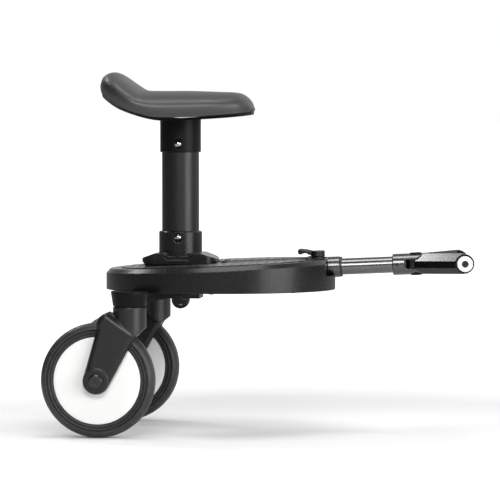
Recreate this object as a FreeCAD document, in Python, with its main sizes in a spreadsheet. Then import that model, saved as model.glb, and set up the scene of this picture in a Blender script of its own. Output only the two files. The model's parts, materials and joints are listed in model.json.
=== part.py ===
"""Ride-on board with a saddle, which hitches behind a pushchair.

Millimetres and degrees. +X points to the hitch, +Y to the left and +Z up. The floor is at height zero and
the origin lies on it, under the middle of the board's box. Inside the model, lengths along X are counted
from the seat post's axis, and the last placement moves every piece to the origin.
"""
import FreeCAD, Part
import math
import os
import Sketcher

SIZES = {
    # clearances
    "fit_gap": 0.3,
    "running_gap": 0.05,
    "press_gap": 0.02,
    "overrun": 3,
    # road wheels
    "wheel_radius": 76,
    "tyre_width": 29,
    "tyre_depth": 18,
    "tread_round": 9.5,
    "rim_depth": 8,
    "rim_width": 22,
    "web_thickness": 4,
    "hub_width": 24,
    "hub_wall": 4,
    "cover_disc_thickness": 1.8,
    "bearing_radius": 11,
    "bearing_width": 7,
    "bearing_race": 2.6,
    "bearing_shield_depth": 0.6,
    "axle_radius": 4,
    "axle_head_radius": 9.2,
    "axle_head_height": 4,
    "axle_socket_radius": 3.4,
    "axle_nut_radius": 7.5,
    "axle_nut_height": 5,
    "spacer_wall": 2.5,
    "track_width": 240,
    # casters
    "swivel_back": 52,
    "trail": 42,
    "wheel_clear": 2,
    "fork_clear": 3.5,
    "leg_thickness": 5,
    "leg_end_radius": 18,
    "leg_rear_lean": 16,
    "leg_front_lean": 30,
    "shoulder_wall": 13.1,
    "shoulder_angle": 81.2,
    "shoulder_drop": 21,
    "shoulder_back": 13,
    "shoulder_round": 17,
    "crown_tip_wall": 4.2,
    "crown_tip_angle": 48.9,
    "crown_round": 7,
    "leg_boss_radius": 16.7,
    "leg_boss_height": 2,
    "stem_radius": 22,
    "stem_edge": 1.2,
    "nose_slope": 38,
    "kingpin_radius": 5,
    "kingpin_seat": 16,
    "kingpin_head_radius": 7.5,
    "kingpin_head_height": 3,
    "bush_radius": 9,
    "bush_flange_radius": 13,
    "bush_flange": 0.6,
    "bush_gap": 0.5,
    "swivel_cap_radius": 9.5,
    "swivel_cap_height": 1.5,
    # caster brackets
    "bracket_depth": 16.6,
    "bracket_boss_low": 22,
    "bracket_boss_high": 24.5,
    "bracket_crown_rise": 2.6,
    "bracket_forward": 56.6,
    "bracket_clear": 6.9,
    "bracket_width": 34,
    "bracket_tip": 5,
    "bracket_root": 13.5,
    "bracket_screw_inset": 12,
    "bracket_screw_pitch": 30,
    "screw_radius": 2.4,
    "screw_head_radius": 4.4,
    "screw_head_height": 2.2,
    # deck
    "deck_length": 309,
    "deck_width": 262,
    "deck_rear": 100,
    "deck_lift": 39,
    "deck_depth": 31.8,
    "deck_tilt": 2.6,
    "deck_wall": 3,
    "deck_chamfer": 5.5,
    "floor_thickness": 2.5,
    "deck_boss_radius": 5,
    "mat_thickness": 1.2,
    "mat_margin": 15,
    "mat_seat_margin": 4,
    "deck_screw_rear_inset": 22,
    "deck_screw_side_inset": 27,
    "deck_screw_front_inset": 51,
    "deck_screw_front_y": 62,
    # seat base and its lock
    "base_length": 100,
    "base_width": 64,
    "base_lift": 2.1,
    "base_edge_height": 8.2,
    "base_hill_height": 14.6,
    "base_hill_length": 62,
    "base_end_chamfer": 5,
    "base_edge_chamfer": 3.2,
    "base_corner_round": 17,
    "base_inset": 5,
    "notch_floor": 10.6,
    "notch_length": 31,
    "notch_ledge_height": 5.2,
    "notch_ledge_depth": 3,
    "collar_wall": 4,
    "collar_height": 43.8,
    "collar_edge": 1.2,
    "tube_seat_rise": 14.6,
    "spindle_radius": 5,
    "spindle_head_radius": 9,
    "spindle_head_height": 4,
    "lock_plate_rear": 15,
    "lock_plate_front": 28,
    "lock_plate_width": 42,
    "lock_plate_thickness": 12.7,
    "lock_tab_width": 24,
    "lock_tab_neck": 2.6,
    "lock_tab_thickness": 9,
    "lock_flange_height": 2.2,
    "lock_tab_edge": 1.2,
    # seat post and its buttons
    "post_radius": 25,
    "post_wall": 2,
    "post_length": 171.5,
    "socket_wall": 2.5,
    "socket_length": 43.9,
    "socket_post_gap": 1.6,
    "socket_plate": 6,
    "socket_edge": 0.8,
    "lower_button_drop": 8.2,
    "upper_button_rise": 11.3,
    "button_radius": 4.7,
    "button_proud": 2.2,
    "button_flange_radius": 6.6,
    "button_flange": 2,
    "button_hole_gap": 0.3,
    "dish_radius": 8,
    "dish_depth": 1.8,
    "spring_thickness": 0.8,
    "spring_width": 8,
    "spring_foot": 8,
    "spring_rise": 38,
    # saddle
    "saddle_length": 203,
    "saddle_width": 160,
    "saddle_middle_back": 3.2,
    "socket_inset": 0.6,
    "saddle_rise": 60.9,
    "shell_thickness": 3.4,
    "shell_inset": 3,
    "shell_gap": 0.5,
    "saddle_screw_inset": 3.6,
    "saddle_screw_depth": 1.5,
    # telescopic arm and its clamp
    "arm_radius": 11,
    "arm_wall": 2,
    "arm_push_room": 36.2,
    "arm_stop_length": 6,
    "arm_stop_lip": 1,
    "arm_stop_plug": 10,
    "guide_length": 48,
    "guide_wall": 1.25,
    "guide_gap": 0.2,
    "cover_seat_gap": 6,
    "cover_rise": 1.3,
    "cover_wall": 1.8,
    "cover_flange_width": 11.4,
    "cover_flange": 1.6,
    "cover_screw_inset": 6,
    "cover_front_gap": 1,
    "front_collar_inset": 9,
    "front_step_drop": 10.5,
    "front_collar_length": 16.5,
    "front_collar_wall": 2.7,
    "front_collar_gap": 0.3,
    "front_collar_edge": 0.8,
    "seal_length": 2.4,
    "seal_wall": 2.35,
    "lever_front_gap": 2.4,
    "lever_hub_radius": 9.8,
    "lever_hub_height": 8.2,
    "lever_hub_edge": 1.2,
    "lever_handle_reach": 26.5,
    "lever_handle_rise": 11.9,
    "lever_handle_width": 11,
    "clamp_screw_radius": 3,
    "clamp_screw_grip": 5,
    "clamp_pad_radius": 4.2,
    # arm head, yoke and hitch
    "arm_reach": 78,
    "head_wall": 3.3,
    "head_length": 17,
    "head_edge": 1,
    "head_end_wall": 4,
    "head_pin_radius": 2,
    "head_pin_place": 6,
    "tongue_thickness": 12,
    "tongue_radius": 13.6,
    "knuckle_radius": 11.5,
    "knuckle_flat": 12,
    "pivot_gap": 0.4,
    "pivot_radius": 4,
    "pivot_cap_radius": 8,
    "pivot_cap_height": 3.1,
    "pivot_cap_edge": 0.9,
    "yoke_swing": 6,
    "yoke_clear": 4.2,
    "horn_forward": 61,
    "horn_side": 63,
    "horn_width": 23,
    "horn_height": 27,
    "hitch_boss_radius": 12.7,
    "hitch_boss_length": 16,
    "plug_radius": 10.2,
    "plug_reach": 10,
    "plug_shank_radius": 6,
    "plug_edge": 0.8,
    "hitch_bolt_radius": 2.5,
    "hitch_head_radius": 4.2,
    "hitch_head_height": 2,
    "hitch_washer_radius": 8.5,
    "hitch_washer_height": 2.4,
}

# Tyre section: height above the rim as a share of the tyre's depth, half width as a share of its half width.
TYRE_SHARES = ((0, 0.76), (0.1, 0.88), (0.2, 0.88), (0.27, 1), (0.5, 1), (1, 0.34))

# Saddle stations from back to front: place along the length from its middle, half width, rim height and
# top height, as shares of the saddle's length, half width and rise.
SADDLE_SHARES = (
    (-0.4993, 0.34, 0.596, 0.818),
    (-0.482, 0.54, 0.539, 0.924),
    (-0.4475, 0.72, 0.445, 0.987),
    (-0.408, 0.83, 0.358, 0.995),
    (-0.359, 0.92, 0.266, 0.921),
    (-0.28, 0.99, 0.161, 0.736),
    (-0.211, 1, 0.087, 0.606),
    (-0.108, 0.98, 0.012, 0.589),
    (0.089, 0.88, 0.011, 0.588),
    (0.277, 0.77, 0.051, 0.568),
    (0.4, 0.64, 0.087, 0.547),
    (0.454, 0.52, 0.108, 0.473),
    (0.488, 0.37, 0.125, 0.352),
    (0.4997, 0.24, 0.153, 0.243),
)

# Saddle section: half width at the rim, height of the wall's top, and half width and height of the shoulder's
# end, as shares of the station's half width and height; radius of each arc as a share of its chord.
SECTION_RIM_SHARE = 0.95
SECTION_WALL_SHARE = 0.5
SECTION_SHOULDER_WIDTH_SHARE = 0.8
SECTION_SHOULDER_HEIGHT_SHARE = 0.88
WALL_ARC_SHARE = 2.2
SHOULDER_ARC_SHARE = 0.9

# Lever handle seen from the side: reach back from the axis and height, as shares of the handle's own.
HANDLE_SHARES = (
    (0.2, 0.2), (0.2, 0.69), (0.55, 0.9), (0.9, 1), (1, 0.82), (1, 0.45), (0.88, 0.28), (0.76, 0.42),
    (0.55, 0.46), (0.42, 0.22),
)

# Small fasteners: flat of a screw's head, flat and side of an axle bolt's head, dome of a snap button and
# thickness of a leaf spring's fold, as shares of the head's radius and height, the button's radius and the
# leaf's thickness.
SCREW_FLAT_SHARE = 0.6
AXLE_FLAT_SHARE = 0.82
AXLE_SIDE_SHARE = 0.6
BUTTON_DOME_SHARE = 1.25
SPRING_FOLD_SHARE = 2.5

# Horn section: half width and height as shares of the horn's half width and half height.
HORN_SHARES = ((-0.45, -1), (0.45, -1), (1, -0.4), (1, 0.28), (0.2, 1), (-0.2, 1), (-1, 0.28), (-1, -0.4))

doc = FreeCAD.newDocument("buggy_board")
sheet = doc.addObject("Spreadsheet::Sheet", "sizes")
nodes = []


class Size:
    """A number together with the sheet expression that gives it."""

    def __init__(self, value, text):
        self.value = float(value)
        self.text = text

    def __add__(self, other):
        other = sized(other)
        if self.text == "0":
            return other
        if other.text == "0":
            return self
        return Size(self.value + other.value, f"({self.text} + {other.text})")

    def __sub__(self, other):
        other = sized(other)
        if other.text == "0":
            return self
        if self.text == "0":
            return -other
        return Size(self.value - other.value, f"({self.text} - {other.text})")

    def __mul__(self, other):
        other = sized(other)
        if "0" in (self.text, other.text):
            return sized(0)
        if self.text == "1":
            return other
        if other.text == "1":
            return self
        return Size(self.value * other.value, f"({self.text} * {other.text})")

    def __truediv__(self, other):
        other = sized(other)
        if self.text == "0":
            return self
        return Size(self.value / other.value, f"({self.text} / {other.text})")

    def __neg__(self):
        if self.text == "0":
            return self
        return Size(-self.value, f"(0 - {self.text})")

    def __rsub__(self, other):
        return sized(other) - self

    __radd__ = __add__
    __rmul__ = __mul__


def sized(number):
    """Return a plain number as a Size, and a Size as it is."""
    if isinstance(number, Size):
        return number
    return Size(number, f"{number:g}" if number >= 0 else f"(0 - {-number:g})")


def sine(angle):
    return Size(math.sin(math.radians(angle.value)), f"sin({angle.text})")


def cosine(angle):
    return Size(math.cos(math.radians(angle.value)), f"cos({angle.text})")


def tangent(angle):
    return Size(math.tan(math.radians(angle.value)), f"tan({angle.text})")


def root(number):
    return Size(math.sqrt(number.value), f"sqrt({number.text})")


def bearing(forward, side):
    """Return the angle of a direction from the forward axis."""
    angle = math.degrees(math.atan2(side.value, forward.value))
    return Size(angle, f"(atan2({side.text}; {forward.text}) / 1 deg)")


class Sizes:
    """The sheet's driving dimensions, by name."""

    def __init__(self, table):
        for row, (name, value) in enumerate(table.items(), 1):
            sheet.set(f"A{row}", name)
            sheet.set(f"B{row}", str(value))
            sheet.setAlias(f"B{row}", name)
            setattr(self, name, Size(value, f"sizes.{name}"))


d = Sizes(SIZES)
doc.recompute()


class Frame:
    """A point and three axes that pieces are placed in."""

    def __init__(self, origin, rows):
        self.origin = origin
        self.rows = rows

    def point(self, place):
        """Return a local place in the outer axes."""
        turned_place = []
        for start, row in zip(self.origin, self.rows):
            for factor, length in zip(row, place):
                start = start + factor * length
            turned_place.append(start)
        return turned_place

    def moved(self, x, y, z):
        return Frame(self.point((sized(x), sized(y), sized(z))), self.rows)

    def turned(self, axis, angle):
        """Return the frame turned about its own axis."""
        c, s, zero, one = cosine(angle), sine(angle), sized(0), sized(1)
        turn = {
            "Y": ((c, zero, s), (zero, one, zero), (-s, zero, c)),
            "Z": ((c, -s, zero), (s, c, zero), (zero, zero, one)),
        }[axis]
        rows = []
        for row in self.rows:
            rows.append([row[0] * turn[0][k] + row[1] * turn[1][k] + row[2] * turn[2][k] for k in range(3)])
        return Frame(self.origin, rows)

    def inside(self, outer):
        """Return this frame, given in an outer frame's axes, in the axes of that frame's own parent."""
        rows = []
        for row in outer.rows:
            rows.append([
                row[0] * self.rows[0][k] + row[1] * self.rows[1][k] + row[2] * self.rows[2][k]
                for k in range(3)
            ])
        return Frame(outer.point(self.origin), rows)

    def rotation(self):
        matrix = FreeCAD.Matrix()
        for i, row in enumerate(self.rows, 1):
            for k, entry in enumerate(row, 1):
                setattr(matrix, f"A{i}{k}", entry.value)
        return FreeCAD.Placement(matrix).Rotation


ZERO = sized(0)
ONE = sized(1)
LEVEL = ((ONE, ZERO, ZERO), (ZERO, ONE, ZERO), (ZERO, ZERO, ONE))
POST = Frame((ZERO, ZERO, ZERO), LEVEL)
ALONG = {
    "X": FreeCAD.Rotation(FreeCAD.Vector(0, 1, 0), 90),
    "Y": FreeCAD.Rotation(FreeCAD.Vector(1, 0, 0), -90),
    "-Y": FreeCAD.Rotation(FreeCAD.Vector(1, 0, 0), 90),
    "Z": FreeCAD.Rotation(),
    "-Z": FreeCAD.Rotation(FreeCAD.Vector(1, 0, 0), 180),
}


def bind(item, name, amount):
    """Bind one property of an object to the sheet."""
    item.setExpression(name, sized(amount).text)


def place(item, frame, axis="Z"):
    """Put an object in a frame, with its own Z axis along the named one."""
    base = FreeCAD.Vector(*[length.value for length in frame.origin])
    item.Placement = FreeCAD.Placement(base, frame.rotation() * ALONG[axis])
    for name, length in zip("xyz", frame.origin):
        if length.text != "0":
            bind(item, f"Placement.Base.{name}", length)
    return item


def cylinder(radius, height, at=(0, 0, 0), axis="Z", frame=POST):
    item = doc.addObject("Part::Cylinder", "round_bar")
    bind(item, "Radius", radius)
    bind(item, "Height", height)
    return place(item, frame.moved(*at), axis)


def cone(low_radius, high_radius, height, at=(0, 0, 0), axis="Z", frame=POST):
    item = doc.addObject("Part::Cone", "taper")
    bind(item, "Radius1", low_radius)
    bind(item, "Radius2", high_radius)
    bind(item, "Height", height)
    return place(item, frame.moved(*at), axis)


def block(x, y, z, frame=POST):
    """Return a box between the low and high values along each axis."""
    item = doc.addObject("Part::Box", "block")
    for name, (low, high) in zip(("Length", "Width", "Height"), (x, y, z)):
        bind(item, name, sized(high) - low)
    return place(item, frame.moved(x[0], y[0], z[0]))


def cut(base, *tools):
    for tool in tools:
        item = doc.addObject("Part::Cut", "cut")
        item.Base = base
        item.Tool = tool
        base = item
    return base


def fuse(*pieces):
    item = doc.addObject("Part::MultiFuse", "joined")
    item.Shapes = list(pieces)
    item.Refine = True
    return item


def group(*pieces):
    """Return separate solids, such as a set of screws, as one object."""
    item = doc.addObject("Part::Compound", "set")
    item.Links = list(pieces)
    return item


def plane_of(body, name):
    return next(item for item in body.Origin.OriginFeatures if item.Role == f"{name}_Plane")


def arc_through(start, end, radius):
    """Return the short arc between two points; it turns left when the radius is positive."""
    middle = (start + end) * 0.5
    chord = end - start
    left = FreeCAD.Vector(-chord.y, chord.x, 0).normalize()
    away = math.sqrt(radius * radius - (chord.Length / 2) ** 2)
    centre = middle + left * (away if radius > 0 else -away)
    first, last = (start, end) if radius > 0 else (end, start)
    angles = [math.atan2(point.y - centre.y, point.x - centre.x) for point in (first, last)]
    if angles[1] < angles[0]:
        angles[1] += 2 * math.pi
    circle = Part.Circle(centre, FreeCAD.Vector(0, 0, 1), abs(radius))
    return Part.ArcOfCircle(circle, angles[0], angles[1])


def new_sketch(body, plane):
    sketch = body.newObject("Sketcher::SketchObject", "outline")
    sketch.AttachmentSupport = [(plane_of(body, plane), "")]
    sketch.MapMode = "FlatFace"
    return sketch


def held(sketch, kind, *where, amount):
    """Add one constraint whose value comes from the sheet."""
    index = sketch.addConstraint(Sketcher.Constraint(kind, *where, abs(amount.value) if kind == "Radius"
                                                     else amount.value))
    sketch.setExpression(f"Constraints[{index}]", amount.text)


def outline(body, plane, points, arcs=None):
    """Draw a closed outline through points, with the numbered runs as arcs of the given radii."""
    sketch = new_sketch(body, plane)
    arcs = arcs or {}
    points = [(sized(x), sized(y)) for x, y in points]
    corners = [FreeCAD.Vector(x.value, y.value, 0) for x, y in points]
    count = len(points)
    ends = []
    for i, corner in enumerate(corners):
        following = corners[(i + 1) % count]
        if i in arcs:
            radius = sized(arcs[i])
            sketch.addGeometry(arc_through(corner, following, radius.value))
            ends.append((1, 2) if radius.value > 0 else (2, 1))
            held(sketch, "Radius", i, amount=radius if radius.value > 0 else -radius)
        else:
            sketch.addGeometry(Part.LineSegment(corner, following))
            ends.append((1, 2))
    for i, (x, y) in enumerate(points):
        following = (i + 1) % count
        first = ends[i][0]
        sketch.addConstraint(Sketcher.Constraint("Coincident", i, ends[i][1], following, ends[following][0]))
        if x.text == "0":
            sketch.addConstraint(Sketcher.Constraint("PointOnObject", i, first, -2))
        else:
            held(sketch, "DistanceX", -1, 1, i, first, amount=x)
        if y.text == "0":
            sketch.addConstraint(Sketcher.Constraint("PointOnObject", i, first, -1))
        else:
            held(sketch, "DistanceY", -1, 1, i, first, amount=y)
    return sketch


def oval(body, half_length, half_width):
    """Draw an ellipse about the body's origin on its XY plane, as two halves that meet on the X axis."""
    sketch = new_sketch(body, "XY")
    far = FreeCAD.Vector(half_length.value, 0, 0)
    side = FreeCAD.Vector(0, half_width.value, 0)
    is_long = half_length.value > half_width.value
    axes = (half_length, half_width) if is_long else (half_width, half_length)
    ellipse = Part.Ellipse(*((far, side) if is_long else (side, far)), FreeCAD.Vector(0, 0, 0))
    start = 0 if is_long else math.pi / 2
    for half in range(2):
        sketch.addGeometry(Part.ArcOfEllipse(ellipse, start + math.pi * half, start + math.pi * (half + 1)))
    for half in range(2):
        line = sketch.GeometryCount
        sketch.exposeInternalGeometry(half)
        sketch.addConstraint(Sketcher.Constraint("Coincident", half, 3, -1, 1))
        sketch.addConstraint(Sketcher.Constraint("Horizontal" if is_long else "Vertical", line))
        for step, amount in enumerate(axes):
            held(sketch, "Distance", line + step, amount=amount * 2)
        for end in (1, 2):
            sketch.addConstraint(Sketcher.Constraint("PointOnObject", half, end, -1))
    return sketch


def pad(body, sketch, depth, symmetric=False):
    item = body.newObject("PartDesign::Pad", "pad")
    item.Profile = sketch
    bind(item, "Length", depth)
    if symmetric:
        item.SideType = "Symmetric"
    return item


def plate(plane, points, depth, arcs=None, symmetric=True, at=(0, 0, 0), axis="Z", frame=POST):
    """Return a body that is one outline drawn out to a depth."""
    body = doc.addObject("PartDesign::Body", "plate")
    pad(body, outline(body, plane, points, arcs), depth, symmetric)
    return place(body, frame.moved(*at), axis)


def lathe(points, arcs=None, at=(0, 0, 0), axis="Z", frame=POST):
    """Return a body turned from (radius, height) points about the named axis."""
    body = doc.addObject("PartDesign::Body", "turned")
    sketch = outline(body, "XZ", points, arcs)
    item = body.newObject("PartDesign::Revolution", "revolution")
    item.Profile = sketch
    item.ReferenceAxis = (sketch, ["V_Axis"])
    return place(body, frame.moved(*at), axis)


def ring(outer, inner, height, edge=ZERO, at=(0, 0, 0), axis="Z", frame=POST):
    """Return a turned ring, with its outer edges chamfered where an edge size is given."""
    if sized(edge).text == "0":
        points = ((inner, 0), (outer, 0), (outer, height), (inner, height))
    else:
        points = ((inner, 0), (outer - edge, 0), (outer, edge), (outer, height - edge),
                  (outer - edge, height), (inner, height))
    return lathe(points, None, at, axis, frame)


def soften(body, kind, amount, wanted):
    """Fillet or chamfer the edges of a body that pass a test."""
    doc.recompute()
    last = body.Tip
    names = [f"Edge{n}" for n, edge in enumerate(last.Shape.Edges, 1) if wanted(edge)]
    item = body.newObject(f"PartDesign::{kind}", kind.lower())
    item.Base = (last, names)
    bind(item, "Radius" if kind == "Fillet" else "Size", amount)
    return item


def screw(length, at, axis="Z", frame=POST):
    """Return a pan-head screw; its head starts at the given place and its shank runs along the axis."""
    head, tall = d.screw_head_radius, d.screw_head_height
    points = ((0, -tall), (head * SCREW_FLAT_SHARE, -tall), (head, tall / -2), (head, 0),
              (d.screw_radius, 0), (d.screw_radius, length), (0, length))
    return lathe(points, None, at, axis, frame)


# Heights of the deck, the seat and the saddle above the floor.
deck_bottom = d.wheel_radius * 2 + d.deck_lift
deck_top = deck_bottom + d.deck_depth
bracket_bottom = deck_bottom - d.bracket_depth
lock_plate_bottom = deck_bottom - d.lock_plate_thickness
base_bottom = deck_top + d.base_lift
tube_seat = base_bottom + d.tube_seat_rise
collar_top = base_bottom + d.collar_height
post_top = tube_seat + d.post_length
socket_roof = post_top + d.socket_post_gap
socket_top = socket_roof + d.socket_plate
socket_bottom = socket_top - d.socket_length
lower_button_height = collar_top - d.lower_button_drop
upper_button_height = socket_bottom + d.upper_button_rise
lowest_rim_share = min(station[2] for station in SADDLE_SHARES)
saddle_rim = socket_top - d.socket_inset + d.shell_thickness + d.shell_gap - d.saddle_rise * lowest_rim_share

# Radii of what fits round the post and the arm.
collar_radius = d.post_radius + d.collar_wall
socket_radius = d.post_radius + d.socket_wall
guide_outer = d.arm_radius + d.running_gap + d.guide_wall
cover_inner = guide_outer + d.guide_gap
cover_outer = cover_inner + d.cover_wall
slot_side = guide_outer + d.fit_gap
arm_stop_radius = d.arm_radius + d.arm_stop_lip
front_collar_radius = d.arm_radius + d.front_collar_gap + d.front_collar_wall
seal_radius = d.arm_radius + d.running_gap + d.seal_wall
head_radius = d.arm_radius + d.head_wall

# Places along the arm, from the seat base to the yoke's pivot, and the arm's depth under the deck's top.
arm_depth = cover_inner - d.cover_rise
base_half = d.base_length / 2
deck_front = d.deck_length - d.deck_rear
deck_middle = d.deck_length / 2 - d.deck_rear
half_length = d.deck_length / 2
half_width = d.deck_width / 2
cover_start = base_half + d.cover_seat_gap
cover_width = (slot_side + d.cover_flange_width) * 2
arm_rear = cover_start + d.cover_wall + d.arm_stop_length + d.arm_push_room
front_collar_start = deck_front - d.front_collar_inset
guide_start = front_collar_start - d.guide_length
cover_end = front_collar_start - d.cover_front_gap
lever_reach = cover_end - d.lever_front_gap - d.lever_hub_radius
head_start = deck_front + d.arm_reach
tube_in_head = d.head_length - d.head_end_wall
pivot_reach = head_start + d.head_length + d.pivot_gap + d.tongue_radius

# Axes of the tilted deck and arm, and of the swung yoke, counted from the seat post.
arm_height = deck_top - arm_depth / cosine(d.deck_tilt)
ARM = POST.moved(0, 0, arm_height).turned("Y", -d.deck_tilt)
YOKE = ARM.moved(pivot_reach, 0, 0).turned("Z", d.yoke_swing)
rear_reach = d.swivel_back + d.trail + d.wheel_radius
near_tip = YOKE.point((d.horn_forward, -d.horn_side - d.hitch_boss_length / 2, ZERO))
front_reach = near_tip[0] + d.hitch_boss_radius * cosine(d.yoke_swing) * cosine(d.deck_tilt)
BOARD = Frame(((rear_reach - front_reach) / 2, ZERO, ZERO), LEVEL)


def node(name, item, frame=POST, axis="Z"):
    """Name a finished piece and move it to its place on the board."""
    item.Label = name
    place(item, frame.inside(BOARD), axis)
    nodes.append(item)


def side_places():
    """Return the name, the sign of Y and the outward axis of each side."""
    return (("left", 1, "Y"), ("right", -1, "-Y"))


# Road wheels: core, covers, tyre and bearings about an axle along Y.
rim_radius = d.wheel_radius - d.tyre_depth
hub_radius = d.bearing_radius + d.hub_wall
axle_x = ZERO - d.swivel_back - d.trail


def wheel_core():
    rim_side = d.rim_width / 2
    web_side = d.web_thickness / 2
    inside = rim_radius - d.rim_depth
    bore = d.bearing_radius + d.press_gap
    outer = rim_radius - d.press_gap
    hub_side = d.hub_width / 2
    points = (
        (bore, -hub_side), (hub_radius, -hub_side), (hub_radius, -web_side), (inside, -web_side),
        (inside, -rim_side), (outer, -rim_side), (outer, rim_side), (inside, rim_side), (inside, web_side),
        (hub_radius, web_side), (hub_radius, hub_side), (bore, hub_side),
    )
    return lathe(points)


def wheel_covers():
    start = d.rim_width / 2
    covers = []
    for at, axis in (((0, 0, start), "Z"), ((0, 0, -start), "-Z")):
        inner = hub_radius + d.fit_gap
        outer = rim_radius - d.fit_gap
        covers.append(ring(outer, inner, d.cover_disc_thickness, at=at, axis=axis))
    return group(*covers)


def tyre():
    half = d.tyre_width / 2
    low = [(rim_radius + d.tyre_depth * rise, ZERO - half * wide) for rise, wide in TYRE_SHARES]
    high = [(rim_radius + d.tyre_depth * rise, half * wide) for rise, wide in reversed(TYRE_SHARES)]
    last = len(TYRE_SHARES) - 1
    return lathe(low + high, {last - 1: d.tread_round, last + 1: d.tread_round})


def wheel_bearings():
    outer, race = d.bearing_radius, d.bearing_race
    inner = d.axle_radius + d.running_gap
    depth, width = d.bearing_shield_depth, d.bearing_width
    points = (
        (inner, 0), (inner + race, 0), (inner + race, depth), (outer - race, depth), (outer - race, 0),
        (outer, 0), (outer, width), (outer - race, width), (outer - race, width - depth),
        (inner + race, width - depth), (inner + race, width), (inner, width),
    )
    start = d.hub_width / 2 - width
    return group(lathe(points, at=(0, 0, start)), lathe(points, at=(0, 0, -start), axis="-Z"))


# Casters: a fork round each wheel, its kingpin and its axle.
leg_inside = d.tyre_width / 2 + d.fork_clear
leg_outside = leg_inside + d.leg_thickness
stem_top = bracket_bottom - d.bush_flange - d.fit_gap - d.wheel_radius
slot_radius = d.wheel_radius + d.wheel_clear
crown_tip_x = (slot_radius + d.crown_tip_wall) * cosine(d.crown_tip_angle)
crown_tip_z = (slot_radius + d.crown_tip_wall) * sine(d.crown_tip_angle)
shoulder_x = (slot_radius + d.shoulder_wall) * cosine(d.shoulder_angle)
shoulder_z = (slot_radius + d.shoulder_wall) * sine(d.shoulder_angle)


def fork():
    """Return a fork about its axle's middle."""
    foot = d.leg_end_radius
    rear = (ZERO - foot * cosine(d.leg_rear_lean), foot * sine(d.leg_rear_lean))
    front = (foot * cosine(d.leg_front_lean), ZERO - foot * sine(d.leg_front_lean))
    tip = (crown_tip_x, crown_tip_z)
    top = (shoulder_x, shoulder_z)
    back = (shoulder_x - d.shoulder_back, shoulder_z - d.shoulder_drop)
    blade = plate("XZ", (rear, front, tip, top, back), leg_outside * 2, {0: foot, 3: d.shoulder_round})
    side = leg_outside.value
    crown = crown_tip_z.value

    def crown_edge(edge):
        box = edge.BoundBox
        on_side = abs(abs(box.Center.y) - side) < d.press_gap.value and box.YLength < d.press_gap.value
        return on_side and box.ZMax > crown + d.overrun.value

    soften(blade, "Fillet", d.crown_round, crown_edge)
    stem = doc.addObject("PartDesign::Body", "stem")
    stem_low = crown_tip_z - d.overrun * 3
    profile = ((0, stem_low), (d.stem_radius, stem_low), (d.stem_radius, stem_top - d.stem_edge),
               (d.stem_radius - d.stem_edge, stem_top), (0, stem_top))
    item = stem.newObject("PartDesign::Revolution", "revolution")
    item.Profile = outline(stem, "XZ", profile)
    item.ReferenceAxis = (item.Profile[0], ["V_Axis"])
    place(stem, POST.moved(d.trail, 0, 0))
    slope = tangent(d.nose_slope)
    far = d.stem_radius + d.overrun
    tip_rise = crown_tip_z - (crown_tip_x - d.trail) * slope
    nose = plate("XZ", ((-far, tip_rise - far * slope), (far, tip_rise + far * slope), (far, 0), (-far, 0)),
                 far * 2, at=(d.trail, 0, 0))
    slot = cylinder(slot_radius, leg_inside * 2, (0, -leg_inside, 0), "Y")
    bosses = cylinder(d.leg_boss_radius, (leg_outside + d.leg_boss_height) * 2,
                      (0, -leg_outside - d.leg_boss_height, 0), "Y")
    axle_hole = cylinder(d.axle_radius + d.press_gap, (leg_outside + d.leg_boss_height + d.overrun) * 2,
                         (0, -leg_outside - d.leg_boss_height - d.overrun, 0), "Y")
    pin_hole = cylinder(d.kingpin_radius + d.press_gap, d.kingpin_seat + d.overrun,
                        (d.trail, 0, stem_top - d.kingpin_seat))
    return cut(fuse(blade, cut(stem, nose), bosses), slot, axle_hole, pin_hole)


def kingpin():
    """Return a kingpin about the swivel axis, its foot at zero height."""
    stem_to_cap = deck_bottom - d.swivel_cap_height - d.fit_gap - (stem_top + d.wheel_radius)
    top = d.kingpin_seat + stem_to_cap
    neck = top - d.kingpin_head_height
    return lathe(((0, 0), (d.kingpin_radius, 0), (d.kingpin_radius, neck), (d.kingpin_head_radius, neck),
                  (d.kingpin_head_radius, top), (0, top)))


def axle():
    """Return the wheel's axle bolt; its head is on the outer leg and its shank runs inwards from zero."""
    length = (leg_outside + d.leg_boss_height) * 2 + d.axle_nut_height
    head, rise = d.axle_head_radius, d.axle_head_height
    hollow = rise / 2
    return lathe((
        (0, hollow), (d.axle_socket_radius, hollow), (d.axle_socket_radius, rise),
        (head * AXLE_FLAT_SHARE, rise), (head, rise * AXLE_SIDE_SHARE), (head, 0), (d.axle_radius, 0),
        (d.axle_radius, -length), (0, -length),
    ))


def axle_spacers():
    inner = d.axle_radius + d.press_gap
    length = leg_inside - d.hub_width / 2 - d.fit_gap
    start = leg_inside - length
    return group(ring(inner + d.spacer_wall, inner, length, at=(0, 0, start)),
                 ring(inner + d.spacer_wall, inner, length, at=(0, 0, -start), axis="-Z"))


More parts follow.
